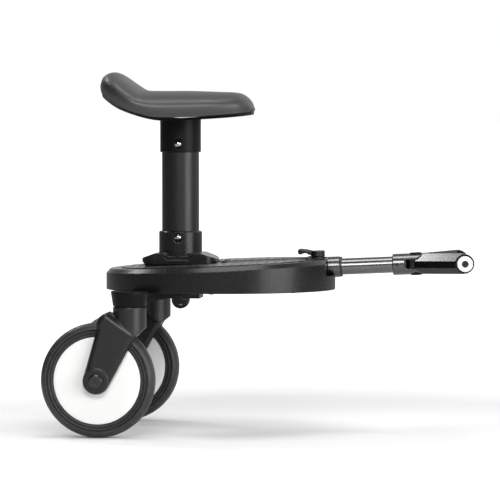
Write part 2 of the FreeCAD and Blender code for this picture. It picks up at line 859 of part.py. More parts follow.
for side_name, sign, outward in side_places():
    wheel_place = POST.moved(axle_x, d.track_width / 2 * sign, d.wheel_radius)
    swivel_place = POST.moved(-d.swivel_back, d.track_width / 2 * sign, 0)
    node(f"wheel_core_{side_name}", wheel_core(), wheel_place, outward)
    node(f"wheel_covers_{side_name}", wheel_covers(), wheel_place, outward)
    node(f"tyre_{side_name}", tyre(), wheel_place, outward)
    node(f"wheel_bearings_{side_name}", wheel_bearings(), wheel_place, outward)
    node(f"fork_{side_name}", fork(), wheel_place)
    pin_foot = stem_top + d.wheel_radius - d.kingpin_seat
    node(f"kingpin_{side_name}", kingpin(), swivel_place.moved(0, 0, pin_foot))
    leg_face = (leg_outside + d.leg_boss_height) * sign
    node(f"axle_{side_name}", axle(), wheel_place.moved(0, leg_face, 0), outward)
    nut = ring(d.axle_nut_radius, d.axle_radius + d.press_gap, d.axle_nut_height, d.collar_edge)
    node(f"axle_nut_{side_name}", nut, wheel_place.moved(0, -leg_face, 0), "-Y" if sign > 0 else "Y")
    node(f"axle_spacers_{side_name}", axle_spacers(), wheel_place, outward)


# Caster brackets: an outrigger from under the deck to each swivel, with its bushes.
bracket_side = d.track_width / 2 - d.lock_plate_width / 2 - d.bracket_width / 2 - d.bracket_clear
bracket_reach = root(d.bracket_forward * d.bracket_forward + bracket_side * bracket_side)
bracket_turn = bearing(d.bracket_forward, bracket_side)
bracket_screw_reaches = (bracket_reach - d.bracket_screw_inset - d.bracket_screw_pitch,
                         bracket_reach - d.bracket_screw_inset)
cap_pocket = d.swivel_cap_height + d.kingpin_head_height + d.fit_gap * 2
bush_length = (d.bracket_depth - cap_pocket - d.bush_gap) / 2


def swivel_bush(with_flange):
    bore = d.kingpin_radius + d.running_gap
    if not with_flange:
        return ring(d.bush_radius, bore, bush_length)
    flange, radius = d.bush_flange, d.bush_flange_radius
    return lathe(((bore, -flange), (radius, -flange), (radius, 0), (d.bush_radius, 0),
                  (d.bush_radius, bush_length), (bore, bush_length)))


def bracket_crown(sign):
    """Return the boss's top beside the deck, which stays clear of the deck's edge."""
    crown = cylinder(d.bracket_boss_high, d.bracket_crown_rise, (0, 0, d.bracket_depth))
    edge = doc.addObject("PartDesign::Body", "edge")
    pad(edge, oval(edge, half_length + d.fit_gap, half_width + d.fit_gap), d.bracket_depth * 2)
    deck_place = (deck_middle + d.swivel_back, d.track_width / -2 * sign, 0)
    place(edge, POST.turned("Z", bracket_turn * sign).moved(*deck_place))
    return cut(crown, edge)


def bracket(sign):
    """Return a bracket about its swivel axis, its underside at zero height and its tip along X."""
    boss = cone(d.bracket_boss_low, d.bracket_boss_high, d.bracket_depth)
    half = d.bracket_width / 2
    tip_low = d.bracket_depth - d.bracket_tip
    web = plate("XZ", ((0, d.bracket_depth - d.bracket_root), (bracket_reach, tip_low),
                       (bracket_reach, d.bracket_depth), (0, d.bracket_depth)), d.bracket_width)
    tip = cylinder(half, d.bracket_tip, (bracket_reach, 0, tip_low))
    bore = cylinder(d.bush_radius + d.press_gap, d.bracket_depth + d.overrun, (0, 0, -d.overrun))
    pocket = cylinder(d.swivel_cap_radius + d.press_gap, cap_pocket + d.overrun,
                      (0, 0, d.bracket_depth - cap_pocket))
    holes = []
    for reach in bracket_screw_reaches:
        holes.append(cylinder(d.screw_radius + d.running_gap, d.bracket_depth + d.overrun * 2,
                              (reach, 0, -d.overrun)))
        holes.append(cylinder(d.screw_head_radius + d.fit_gap, tip_low + d.overrun, (reach, 0, -d.overrun)))
    return cut(fuse(boss, web, tip, bracket_crown(sign)), bore, pocket, *holes)


swivel_caps = []
bracket_screws = []
bracket_bosses = []
for side_name, sign, outward in side_places():
    swivel = POST.moved(-d.swivel_back, d.track_width / 2 * sign, bracket_bottom)
    reach_frame = swivel.turned("Z", -bracket_turn * sign)
    node(f"caster_bracket_{side_name}", bracket(sign), reach_frame)
    upper_bush = d.bracket_depth - cap_pocket - bush_length
    bushes = group(swivel_bush(True), place(swivel_bush(False), POST.moved(0, 0, upper_bush)))
    node(f"swivel_bushes_{side_name}", bushes, swivel)
    swivel_caps.append(cylinder(d.swivel_cap_radius, d.swivel_cap_height,
                                (0, 0, d.bracket_depth - d.swivel_cap_height), frame=swivel))
    for reach in bracket_screw_reaches:
        start = d.bracket_depth - d.bracket_tip
        bracket_screws.append(screw(d.bracket_tip + d.floor_thickness + d.deck_boss_radius, (reach, 0, start),
                                    frame=reach_frame))
        bracket_bosses.append(reach_frame.point((reach, ZERO, ZERO)))
node("swivel_caps", group(*swivel_caps))
node("bracket_screws", group(*bracket_screws))


# Deck: a tilted oval tray upside down, its floor, its mat and its screws.
tilt = tangent(d.deck_tilt)


def deck_height(x):
    """Return the height of the deck's top plane at a place along X."""
    return deck_top + x * tilt


def wedge(inset, drop, start):
    """Return an oval block under the tilted top, inset, lowered and with its upper edge chamfered."""
    body = doc.addObject("PartDesign::Body", "wedge")
    tall = deck_height(half_length + deck_middle) - deck_bottom + start + d.overrun
    sketch = oval(body, half_length - inset, half_width - inset)
    pad(body, sketch, tall)
    far = half_length + d.overrun
    low, high = [deck_height(deck_middle + x) - deck_bottom + start - drop for x in (-far, far)]
    pocket = body.newObject("PartDesign::Pocket", "slope")
    above = tall + d.overrun
    pocket.Profile = outline(body, "XZ", ((-far, low), (far, high), (far, above), (-far, above)))
    pocket.Type = "ThroughAll"
    pocket.SideType = "Symmetric"
    rim_low = low.value - d.overrun.value
    soften(body, "Chamfer", d.deck_chamfer, lambda edge: edge.BoundBox.ZMin > rim_low)
    return place(body, POST.moved(deck_middle, 0, deck_bottom - start))


def deck_screw_places():
    places = [(d.deck_screw_rear_inset - d.deck_rear, ZERO)]
    middle = (deck_middle, half_width - d.deck_screw_side_inset)
    front = (deck_front - d.deck_screw_front_inset, d.deck_screw_front_y)
    for x, y in (middle, front):
        places += [(x, y), (x, -y)]
    return places


def deck_boss(x, y, hole):
    """Return a screw boss from the floor up into the deck's top, and its hole."""
    start = deck_bottom + d.floor_thickness
    top = deck_height(x) - d.deck_wall / 2
    body = cylinder(d.deck_boss_radius, top - start, (x, y, start))
    return body, cylinder(hole, d.deck_boss_radius + d.overrun * 2, (x, y, start - d.overrun))


pad_pocket = cover_inner + d.cover_wall / 2
pedestal_half = base_half - d.base_inset
spindle_hole = d.spindle_radius + d.fit_gap


def cover_screw_places():
    """Return the cover's screws in the arm's axes."""
    side = cover_width / 2 - d.cover_screw_inset
    rear, front = cover_start + d.cover_screw_inset, cover_end - d.cover_screw_inset * 4
    return ((rear, side), (rear, -side), (front, side), (front, -side))


def deck_shell():
    outer = wedge(ZERO, ZERO, ZERO)
    inner = wedge(d.deck_wall, d.deck_wall / cosine(d.deck_tilt), d.overrun)
    nose_low = deck_bottom + d.floor_thickness + d.fit_gap
    nose = block((front_collar_start - d.deck_wall, d.deck_length), (-half_width, half_width),
                 (nose_low, deck_top * 2))
    step = block((front_collar_start, d.deck_length), (-half_width, half_width),
                 (-d.front_step_drop, deck_top), ARM)
    passage = cylinder(slot_side, d.deck_wall * 2, (front_collar_start - d.deck_wall * 2, 0, 0), "X", ARM)
    pedestal_side = d.base_width / 2 - d.base_inset
    pedestal = block((-pedestal_half, pedestal_half), (-pedestal_side, pedestal_side),
                     (deck_top - d.deck_wall * 2, base_bottom))
    solids, holes = [cut(outer, cut(inner, nose)), pedestal], []
    for x, y in deck_screw_places():
        boss, hole = deck_boss(x, y, d.screw_radius + d.running_gap)
        solids.append(boss)
        holes.append(hole)
    for place_of_screw in bracket_bosses:
        boss, hole = deck_boss(place_of_screw[0], place_of_screw[1], d.screw_radius + d.running_gap)
        solids.append(boss)
        holes.append(hole)
    slot = block((cover_start + d.cover_wall, front_collar_start),
                 (-slot_side, slot_side), (0, arm_depth + d.overrun), ARM)
    mouth = cylinder(front_collar_radius + d.fit_gap, d.front_collar_length * 2,
                     (front_collar_start - d.cover_front_gap, 0, 0), "X", ARM)
    spindle = cylinder(spindle_hole, base_bottom, (0, 0, deck_bottom))
    for x, y in cover_screw_places():
        depth = d.deck_wall + d.overrun * 2
        holes.append(cylinder(d.screw_radius + d.running_gap, depth,
                              (x, y, arm_depth - d.deck_wall - d.overrun), frame=ARM))
    return cut(fuse(*solids), slot, passage, mouth, step, spindle, *holes)


def deck_floor():
    body = doc.addObject("PartDesign::Body", "floor")
    inset = d.deck_wall + d.fit_gap
    pad(body, oval(body, half_length - inset, half_width - inset), d.floor_thickness)
    place(body, POST.moved(deck_middle, 0, deck_bottom))
    places = list(deck_screw_places()) + [(point[0], point[1]) for point in bracket_bosses]
    depth = d.floor_thickness + d.overrun * 2
    low = deck_bottom - d.overrun
    holes = [cylinder(d.screw_radius + d.running_gap, depth, (x, y, low)) for x, y in places]
    holes.append(cylinder(spindle_hole, depth, (0, 0, low)))
    return cut(body, *holes)


def deck_mat():
    """Return the anti-slip mat in the arm's axes, lying on the deck's top plane."""
    body = doc.addObject("PartDesign::Body", "mat")
    margin = d.deck_chamfer + d.mat_margin
    pad(body, oval(body, half_length - margin, half_width - margin), d.mat_thickness)
    place(body, POST.moved(deck_middle, 0, arm_depth))
    reach, side = base_half + d.mat_seat_margin, d.base_width / 2 + d.mat_seat_margin
    heights = (arm_depth - d.overrun, arm_depth + d.overrun)
    seat = block((-reach, reach), (-side, side), heights)
    lane_side = cover_width / 2 + d.fit_gap
    lane = block((cover_start - d.fit_gap, d.deck_length), (-lane_side, lane_side), heights)
    return cut(body, seat, lane)


node("deck_shell", deck_shell())
node("deck_floor", deck_floor())
node("deck_mat", deck_mat(), ARM)
deck_screw_length = d.floor_thickness + d.deck_boss_radius
node("deck_screws", group(*[screw(deck_screw_length, (x, y, deck_bottom)) for x, y in deck_screw_places()]))


# Seat base on the deck, and the quarter-turn lock under it.
def button_hole(radius, height):
    """Return the hole and the dish for a snap button in the right side of a sleeve."""
    bore = d.button_radius + d.button_hole_gap
    hole = cylinder(bore, radius + d.overrun, (0, 0, height), "-Y")
    dish_start = (0, d.dish_depth - radius, height)
    dish = cone(bore, d.dish_radius + d.dish_depth, d.dish_depth * 2, dish_start, "-Y")
    return hole, dish


def seat_base():
    """Return the foot with its notched sides and the collar that holds the post."""
    low, half = base_bottom, base_half
    edge, hill = low + d.base_edge_height, low + d.base_hill_height
    hill_half = d.base_hill_length / 2
    under = half - d.base_end_chamfer
    points = (
        (-under, low), (under, low), (half, low + d.base_edge_chamfer), (half, edge - d.collar_edge),
        (half - d.collar_edge, edge), (hill_half, hill), (-hill_half, hill), (d.collar_edge - half, edge),
        (-half, edge - d.collar_edge), (-half, low + d.base_edge_chamfer),
    )
    foot = plate("XZ", points, d.base_width)
    collar = lathe(((0, low), (collar_radius, low), (collar_radius, collar_top - d.collar_edge),
                    (collar_radius - d.collar_edge, collar_top), (0, collar_top)))
    corner_far = base_half + d.overrun
    corner_side = d.base_width / 2 + d.overrun
    round_side = d.base_width / 2 - d.base_corner_round
    round_end = base_half - d.base_corner_round
    corners = []
    for way in (1, -1):
        for sign in (1, -1):
            spans = [tuple(sorted(span, key=lambda end: end.value)) for span in (
                (round_end * way, corner_far * way), (round_side * sign, corner_side * sign))]
            square = block(spans[0], spans[1], (low - d.overrun, hill + d.overrun))
            disc = cylinder(d.base_corner_round, d.base_hill_height + d.overrun * 4,
                            (round_end * way, round_side * sign, low - d.overrun * 2))
            corners.append(cut(square, disc))
    notches = []
    floor, ledge = d.notch_floor, d.notch_ledge_height
    short, wide = d.notch_length / 2, d.notch_length / 2 + d.base_hill_height
    step = floor - ledge
    for sign in (1, -1):
        inset = d.base_width / 2 - d.notch_ledge_depth * 2
        deep = collar_radius
        notches.append(plate("XZ", ((-short, floor), (short, floor), (wide, floor + d.base_hill_height),
                                    (-wide, floor + d.base_hill_height)), deep,
                             at=(0, (inset + deep / 2) * sign, low)))
        inset = d.base_width / 2 - d.notch_ledge_depth
        lip = short + step
        notches.append(plate("XZ", ((-short, ledge), (short, ledge), (lip, floor), (-lip, floor)), deep,
                             at=(0, (inset + deep / 2) * sign, low)))
    bore = cylinder(d.post_radius + d.running_gap, collar_top, (0, 0, tube_seat))
    head_room = cylinder(d.spindle_head_radius + d.fit_gap, d.spindle_head_height + d.overrun,
                         (0, 0, tube_seat - d.spindle_head_height))
    spindle = cylinder(d.spindle_radius + d.running_gap, tube_seat, (0, 0, low - d.overrun))
    ground = block((-d.base_length, d.base_length), (-d.base_width, d.base_width),
                   (-d.base_width, arm_depth), ARM)
    hole, dish = button_hole(collar_radius, lower_button_height)
    return cut(fuse(cut(foot, *corners, *notches), collar), ground, bore, head_room, spindle, hole, dish)


node("seat_base", seat_base())
plate_side = d.lock_plate_width / 2
lock_plate = block((-d.lock_plate_rear, d.lock_plate_front), (-plate_side, plate_side),
                   (lock_plate_bottom, deck_bottom))
node("lock_plate", cut(lock_plate, cylinder(spindle_hole, deck_bottom, (0, 0, 0))))
tab_top = lock_plate_bottom - d.fit_gap
lock_tab_drop = d.lock_tab_width / 2 + d.lock_tab_neck
tab_bottom = lock_plate_bottom - lock_tab_drop
spindle_foot = tab_bottom + lock_tab_drop / 3
head_low = tube_seat - d.spindle_head_height
head_top = tube_seat - d.fit_gap
node("lock_spindle", lathe((
    (0, spindle_foot), (d.spindle_radius, spindle_foot), (d.spindle_radius, head_low),
    (d.spindle_head_radius, head_low), (d.spindle_head_radius, head_top), (0, head_top),
)))


def lock_tab():
    """Return the half-round finger tab under its flange."""
    half = d.lock_tab_width / 2
    flange = cylinder(half, d.lock_flange_height, (0, 0, tab_top - d.lock_flange_height))
    eased = half - d.lock_tab_edge
    widest = tab_bottom + half
    tab = plate("XZ", ((-half, widest), (0, tab_bottom), (half, widest), (half, tab_top), (-half, tab_top)),
                d.lock_tab_thickness, {0: half, 1: half})
    boss = cylinder(eased, tab_top - tab_bottom - half / 2, (0, 0, tab_bottom + half / 2))
    hole = cylinder(d.spindle_radius + d.press_gap, lock_plate_bottom, (0, 0, spindle_foot))
    slim = d.spindle_radius + d.lock_tab_edge
    waist = block((-d.lock_tab_width, d.lock_tab_width), (-slim, slim), (tab_bottom, tab_top))
    trimmed = doc.addObject("Part::Common", "waist")
    trimmed.Base = boss
    trimmed.Tool = waist
    return cut(fuse(flange, tab, trimmed), hole)


node("lock_tab", lock_tab())


# Seat post: a tube with two snap buttons, each on a folded leaf spring.
post_inside = d.post_radius - d.post_wall
post = ring(d.post_radius, post_inside, post_top - tube_seat, at=(0, 0, tube_seat))
post_holes = [cylinder(d.button_radius + d.running_gap, d.post_radius + d.overrun, (0, 0, height), "-Y")
              for height in (lower_button_height, upper_button_height)]
node("seat_tube", cut(post, *post_holes))
flange_face = root(post_inside * post_inside - d.button_flange_radius * d.button_flange_radius) - d.fit_gap
button_back = flange_face - d.button_flange


def button(sleeve_radius):
    """Return a snap button whose back is at zero, with its dome standing out of the sleeve."""
    flange, wide, radius = d.button_flange, d.button_flange_radius, d.button_radius
    top = sleeve_radius + d.button_proud - button_back
    shoulder = top - radius / 2
    return lathe(((0, 0), (wide, 0), (wide, flange), (radius, flange), (radius, shoulder), (0, top)),
                 {4: radius * BUTTON_DOME_SHARE})


def leaf_spring(way):
    """Return a leaf folded upwards or downwards across the tube; one foot stands behind the button."""
    near = ZERO - button_back + d.fit_gap
    half = d.spring_width / 2
    far = root(post_inside * post_inside - half * half) - d.fit_gap
    thick, foot = d.spring_thickness, d.spring_foot / 2
    fold = (near + far) / 2
    crotch = d.spring_rise - thick * SPRING_FOLD_SHARE
    points = [
        (near, -foot), (near + thick, -foot), (near + thick, foot), (fold, crotch), (far - thick, foot),
        (far - thick, -foot), (far, -foot), (far, foot + thick), (fold, d.spring_rise), (near, foot + thick),
    ]
    if way < 0:
        points = [(y, -z) for y, z in reversed(points)]
    return plate("YZ", points, d.spring_width)


for which, height, sleeve, way in (
    ("lower", lower_button_height, collar_radius, 1),
    ("upper", upper_button_height, socket_radius, -1),
):
    node(f"{which}_button", button(sleeve), POST.moved(0, -button_back, height), "-Y")
    node(f"{which}_button_spring", leaf_spring(way), POST.moved(0, 0, height))


# Saddle: a padded top on a moulded shell, and the socket that fits over the post.
saddle_half = d.saddle_width / 2


def loft(sections):
    """Return a body lofted through outlines that stand across X."""
    body = doc.addObject("PartDesign::Body", "loft")
    sketches = []
    for x, points, arcs in sections:
        sketch = outline(body, "YZ", points, arcs)
        sketch.AttachmentOffset = FreeCAD.Placement(FreeCAD.Vector(0, 0, x.value), FreeCAD.Rotation())
        bind(sketch, "AttachmentOffset.Base.z", x)
        sketches.append(sketch)
    item = body.newObject("PartDesign::AdditiveLoft", "loft")
    item.Profile = sketches[0]
    item.Sections = sketches[1:]
    return body


def arc_radius(start, end, share):
    """Return a radius that is a share of the chord between two points."""
    across, up = end[0] - start[0], end[1] - start[1]
    return root(across * across + up * up) * share


def pad_section(station):
    along, wide, low, high = station
    half = saddle_half * wide
    base, tall = d.saddle_rise * low, d.saddle_rise * (high - low)
    foot = (half * SECTION_RIM_SHARE, base)
    wall = (half, base + tall * SECTION_WALL_SHARE)
    shoulder = (half * SECTION_SHOULDER_WIDTH_SHARE, base + tall * SECTION_SHOULDER_HEIGHT_SHARE)
    crown = tall * (1 - SECTION_SHOULDER_HEIGHT_SHARE)
    crown_radius = (shoulder[0] * shoulder[0] + crown * crown) / (crown * 2)
    right = [foot, wall, shoulder]
    points = [(-foot[0], foot[1])] + right + [(-x, z) for x, z in reversed(right[1:])]
    wall_radius = arc_radius(foot, wall, WALL_ARC_SHARE)
    shoulder_radius = arc_radius(wall, shoulder, SHOULDER_ARC_SHARE)
    arcs = {1: wall_radius, 2: shoulder_radius, 3: crown_radius, 4: shoulder_radius, 5: wall_radius}
    return d.saddle_length * along, points, arcs


def shell_section(station):
    along, wide, low, high = station
    half = saddle_half * wide * SECTION_RIM_SHARE - d.shell_inset
    top = d.saddle_rise * low - d.shell_gap
    bottom = top - d.shell_thickness
    under = half - d.shell_thickness
    return d.saddle_length * along, [(-under, bottom), (under, bottom), (half, top), (-half, top)], {}


saddle_place = POST.moved(-d.saddle_middle_back, 0, saddle_rim)
node("saddle_pad", loft([pad_section(station) for station in SADDLE_SHARES]), saddle_place)
screw_circle = post_inside - d.screw_head_radius - d.saddle_screw_inset
saddle_screw_places = [(screw_circle * x, screw_circle * y) for x, y in ((1, 0), (0, 1), (-1, 0), (0, -1))]
shell_holes = [cylinder(d.screw_radius + d.running_gap, d.saddle_screw_depth + d.overrun,
                        (x + d.saddle_middle_back, y, socket_top - saddle_rim - d.overrun))
               for x, y in saddle_screw_places]
shell = loft([shell_section(station) for station in SADDLE_SHARES])
recess_low = socket_top - saddle_rim - d.socket_plate
recess = cylinder(socket_radius + d.fit_gap, d.socket_plate + d.fit_gap,
                  (d.saddle_middle_back, 0, recess_low))
node("saddle_shell", cut(shell, recess, *shell_holes), saddle_place)


def saddle_socket():
    inner, outer, edge = d.post_radius + d.running_gap, socket_radius, d.socket_edge
    body = lathe(((inner, socket_bottom), (outer - edge, socket_bottom), (outer, socket_bottom + edge),
                  (outer, socket_top), (0, socket_top), (0, socket_roof), (inner, socket_roof)))
    hole, dish = button_hole(outer, upper_button_height)
    depth = d.socket_plate + d.overrun * 2
    holes = [cylinder(d.screw_radius + d.running_gap, depth, (x, y, socket_roof - d.overrun))
             for x, y in saddle_screw_places]
    return cut(body, hole, dish, *holes)


node("saddle_socket", saddle_socket())
node("saddle_screws", group(*[screw(d.socket_plate + d.saddle_screw_depth, (x, y, socket_roof))
                              for x, y in saddle_screw_places]))


# Telescopic arm in its guide under the deck's cover, all in the arm's axes.
def arm_cover():
    flange_top = arm_depth + d.cover_flange
    side = cover_width / 2
    inner_side = root(cover_inner * cover_inner - arm_depth * arm_depth)
    outer_side = root(cover_outer * cover_outer - flange_top * flange_top)
    points = (
        (-side, arm_depth), (-inner_side, arm_depth), (inner_side, arm_depth), (side, arm_depth),
        (side, flange_top), (outer_side, flange_top), (-outer_side, flange_top), (-side, flange_top),
    )
    arch = plate("YZ", points, cover_end - cover_start, {1: -cover_inner, 5: cover_outer}, False,
                 at=(cover_start, 0, 0))
    depth = d.cover_flange + d.overrun * 2
    holes = [cylinder(d.screw_radius + d.running_gap, depth, (x, y, arm_depth - d.overrun))
             for x, y in cover_screw_places()]
    lever_seat = cylinder(d.lever_hub_radius - d.lever_hub_edge, cover_outer - arm_depth,
                          (lever_reach, 0, arm_depth))
    tunnel = cylinder(cover_inner, cover_end, axis="X")
    holes.append(cylinder(d.clamp_screw_radius + d.running_gap, cover_outer,
                          (lever_reach, 0, d.arm_radius)))
    holes.append(cylinder(d.clamp_pad_radius + d.fit_gap, pad_pocket, (lever_reach, 0, 0)))
    return cut(fuse(arch, cut(lever_seat, tunnel)), *holes)


node("arm_cover", arm_cover(), ARM)
cover_screw_length = d.cover_flange + d.deck_wall + d.screw_radius
cover_screw_seat = arm_depth + d.cover_flange
cover_screws = [screw(cover_screw_length, (x, y, cover_screw_seat), "-Z") for x, y in cover_screw_places()]
node("cover_screws", group(*cover_screws), ARM)
guide = ring(guide_outer, d.arm_radius + d.running_gap, front_collar_start - guide_start,
             at=(guide_start, 0, 0), axis="X")
pad_window = cylinder(d.clamp_pad_radius + d.fit_gap, guide_outer, (lever_reach, 0, 0))
node("arm_guide", cut(guide, pad_window), ARM)
front_collar = ring(front_collar_radius, d.arm_radius + d.front_collar_gap, d.front_collar_length,
                    d.front_collar_edge)
node("front_collar", front_collar, ARM.moved(front_collar_start, 0, 0), "X")
seal_start = front_collar_start + d.front_collar_length
collar_seal = ring(seal_radius, d.arm_radius + d.running_gap, d.seal_length)
node("collar_seal", collar_seal, ARM.moved(seal_start, 0, 0), "X")
pad_low = d.arm_radius + d.fit_gap
pad_top = pad_pocket - d.fit_gap
hub_low = cover_outer + d.fit_gap
node("clamp_pad", cylinder(d.clamp_pad_radius, pad_top - pad_low), ARM.moved(lever_reach, 0, pad_low))
node("clamp_screw", cylinder(d.clamp_screw_radius, hub_low + d.clamp_screw_grip - pad_top - d.fit_gap),
     ARM.moved(lever_reach, 0, pad_top + d.fit_gap))


def clamp_lever():
    """Return the lever about its axis, its hub's underside at zero height."""
    hub = ring(d.lever_hub_radius, ZERO, d.lever_hub_height, d.lever_hub_edge)
    points = [(ZERO - d.lever_handle_reach * back, d.lever_handle_rise * up) for back, up in HANDLE_SHARES]
    handle = plate("XZ", list(reversed(points)), d.lever_handle_width)
    hole = cylinder(d.clamp_screw_radius + d.press_gap, d.clamp_screw_grip + d.overrun, (0, 0, -d.overrun))
    return cut(fuse(hub, handle), hole)


node("clamp_lever", clamp_lever(), ARM.moved(lever_reach, 0, hub_low))
tube_end = head_start + tube_in_head
arm_inside = d.arm_radius - d.arm_wall
pin_place = head_start + d.head_pin_place
tube = ring(d.arm_radius, arm_inside, tube_end - arm_rear, at=(arm_rear, 0, 0), axis="X")
pin_hole = cylinder(d.head_pin_radius + d.press_gap, head_radius * 4,
                    (pin_place, head_radius * -2, 0), "Y")
node("arm_tube", cut(tube, pin_hole), ARM)
node("arm_stop", lathe((
    (0, -d.arm_stop_length), (arm_stop_radius, -d.arm_stop_length), (arm_stop_radius, 0),
    (arm_inside - d.press_gap, 0), (arm_inside - d.press_gap, d.arm_stop_plug), (0, d.arm_stop_plug),
)), ARM.moved(arm_rear, 0, 0), "X")


def arm_head():
    """Return the head on the tube's end, with two plates that the yoke swings between."""
    radius, edge = head_radius, d.head_edge
    bore = d.arm_radius + d.press_gap
    long, deep = d.head_length, tube_in_head
    barrel = lathe(((bore, 0), (radius - edge, 0), (radius, edge), (radius, long - edge),
                    (radius - edge, long), (0, long), (0, deep), (bore, deep)),
                   at=(head_start, 0, 0), axis="X")
    half, slot = d.knuckle_radius, d.tongue_thickness / 2 + d.fit_gap
    plates = []
    for low, high in ((slot, radius), (-radius, -slot)):
        plates.append(block((head_start + long - d.overrun, pivot_reach), (-half, half), (low, high)))
        plates.append(cylinder(half, high - low, (pivot_reach, 0, low)))
    knuckle = doc.addObject("Part::Common", "knuckle")
    knuckle.Base = fuse(*plates)
    knuckle.Tool = cylinder(radius, pivot_reach, (head_start, 0, 0), "X")
    holes = [cylinder(d.pivot_radius + d.press_gap, radius * 2, (pivot_reach, 0, -radius)),
             cylinder(d.head_pin_radius + d.press_gap, radius * 4, (pin_place, radius * -2, 0), "Y")]
    for axis, start in (("Z", d.knuckle_flat), ("-Z", -d.knuckle_flat)):
        holes.append(cylinder(d.pivot_cap_radius + d.fit_gap, radius, (pivot_reach, 0, start), axis))
    return cut(fuse(barrel, knuckle), *holes)


node("arm_head", arm_head(), ARM)
node("head_pin", cylinder(d.head_pin_radius, head_radius * 2), ARM.moved(pin_place, -head_radius, 0), "Y")


# Yoke with two horns, swinging on an upright pin in the head, and the hitch plugs at the horns' ends.
def yoke():
    half = d.tongue_thickness / 2
    tongue = cylinder(d.tongue_radius, d.tongue_thickness, (0, 0, -half))
    length = root(d.horn_forward * d.horn_forward + d.horn_side * d.horn_side)
    points = [(d.horn_width / 2 * y, d.horn_height / 2 * z) for y, z in HORN_SHARES]
    solids, bores = [tongue], []
    for sign in (1, -1):
        horn_frame = POST.turned("Z", bearing(d.horn_forward, d.horn_side) * sign)
        solids.append(plate("YZ", points, length, symmetric=False, frame=horn_frame))
        boss_low = d.horn_side * sign - d.hitch_boss_length / 2
        solids.append(cylinder(d.hitch_boss_radius, d.hitch_boss_length, (d.horn_forward, boss_low, 0), "Y"))
        trim = d.hitch_boss_length * 2
        outer_face = d.horn_side * sign + d.hitch_boss_length / 2 * sign
        start = outer_face if sign > 0 else outer_face - trim
        bores.append(block((0, d.horn_forward * 2), (start, start + trim), (-d.horn_height, d.horn_height)))
        middle = d.horn_side * sign
        bores.append(cylinder(d.plug_shank_radius + d.running_gap, trim,
                              (d.horn_forward, middle - trim / 2, 0), "Y"))
        inner_face = middle - d.hitch_boss_length / 2 * sign
        bores.append(cylinder(d.hitch_washer_radius + d.fit_gap, d.hitch_boss_length,
                              (d.horn_forward, inner_face, 0), "-Y" if sign > 0 else "Y"))
    for axis, start in (("Z", half), ("-Z", -half)):
        bores.append(cylinder(d.knuckle_radius + d.yoke_clear, d.horn_height, (0, 0, start), axis))
    bores.append(cylinder(d.pivot_radius + d.running_gap, d.horn_height * 2, (0, 0, -d.horn_height)))
    return cut(fuse(*solids), *bores)


node("yoke", yoke(), YOKE)
pivot = ARM.moved(pivot_reach, 0, 0)
node("pivot_pin", cylinder(d.pivot_radius, d.knuckle_flat * 2), pivot.moved(0, 0, -d.knuckle_flat))
cap_side = d.pivot_cap_height - d.pivot_cap_edge
cap_points = ((0, 0), (d.pivot_cap_radius, 0), (d.pivot_cap_radius, cap_side),
              (d.pivot_cap_radius - d.pivot_cap_edge, d.pivot_cap_height), (0, d.pivot_cap_height))
node("pivot_caps", group(lathe(cap_points, at=(0, 0, d.knuckle_flat)),
                         lathe(cap_points, at=(0, 0, -d.knuckle_flat), axis="-Z")), pivot)
shank_end = ZERO - d.hitch_boss_length - d.fit_gap


def hitch_plug():
    """Return a plug on its outward axis, the boss's outer face at zero."""
    inner, outer, edge = d.hitch_bolt_radius + d.press_gap, d.plug_radius, d.plug_edge
    low, high = d.fit_gap, d.fit_gap + d.plug_reach
    head = d.hitch_head_radius + d.fit_gap
    return lathe((
        (inner, shank_end), (d.plug_shank_radius, shank_end), (d.plug_shank_radius, low), (outer, low),
        (outer, high - edge), (outer - edge, high), (head, high), (head, high - d.hitch_head_height),
        (inner, high - d.hitch_head_height),
    ))


def hitch_bolt():
    """Return the bolt through a plug, with the washer that keeps the plug in its boss."""
    radius, head, washer = d.hitch_bolt_radius, d.hitch_head_radius, d.hitch_washer_radius
    seat = d.fit_gap + d.plug_reach - d.hitch_head_height
    side, top = seat + d.hitch_head_height / 2, seat + d.hitch_head_height
    washer_end = shank_end - d.hitch_washer_height
    return lathe((
        (0, washer_end), (washer, washer_end), (washer, shank_end), (radius, shank_end), (radius, seat),
        (head, seat), (head, side), (head / 2, top), (0, top),
    ))


for side_name, sign, outward in side_places():
    face = (d.horn_side + d.hitch_boss_length / 2) * sign
    plug_place = YOKE.moved(d.horn_forward, face, 0)
    node(f"hitch_plug_{side_name}", hitch_plug(), plug_place, outward)
    node(f"hitch_bolt_{side_name}", hitch_bolt(), plug_place, outward)

doc.recompute()
for item in doc.Objects:
    if {"Invalid", "Error"} & set(item.State):
        raise RuntimeError(f"{item.Name} ({item.Label}) failed: {item.State}")
for item in nodes:
    if item.Shape.isNull() or not item.Shape.isValid() or not item.Shape.Solids:
        raise RuntimeError(f"{item.Label} has no valid solid")
os.makedirs("parts", exist_ok=True)
whole = FreeCAD.BoundBox()
for item in nodes:
    item.Shape.exportStep(os.path.join("parts", f"{item.Label}.step"))
    whole.add(item.Shape.BoundBox)
print(len(nodes), "pieces in", whole)
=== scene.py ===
"""Looks of a ride-on board with a saddle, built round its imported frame.

Lengths are in metres, in the frame's own axes: +X points to the hitch, +Y to the left and +Z up, and the
floor is at height zero. Rigid pieces keep their solids and get a finish. The saddle's pad, the tyres, the
wheel discs, the deck's treads, the clamp's lever and the socket heads are modelled here.
"""

import json
import logging
import math
from dataclasses import dataclass
from enum import Enum
from typing import Sequence

import bmesh
import bpy
from mathutils import Matrix, Vector


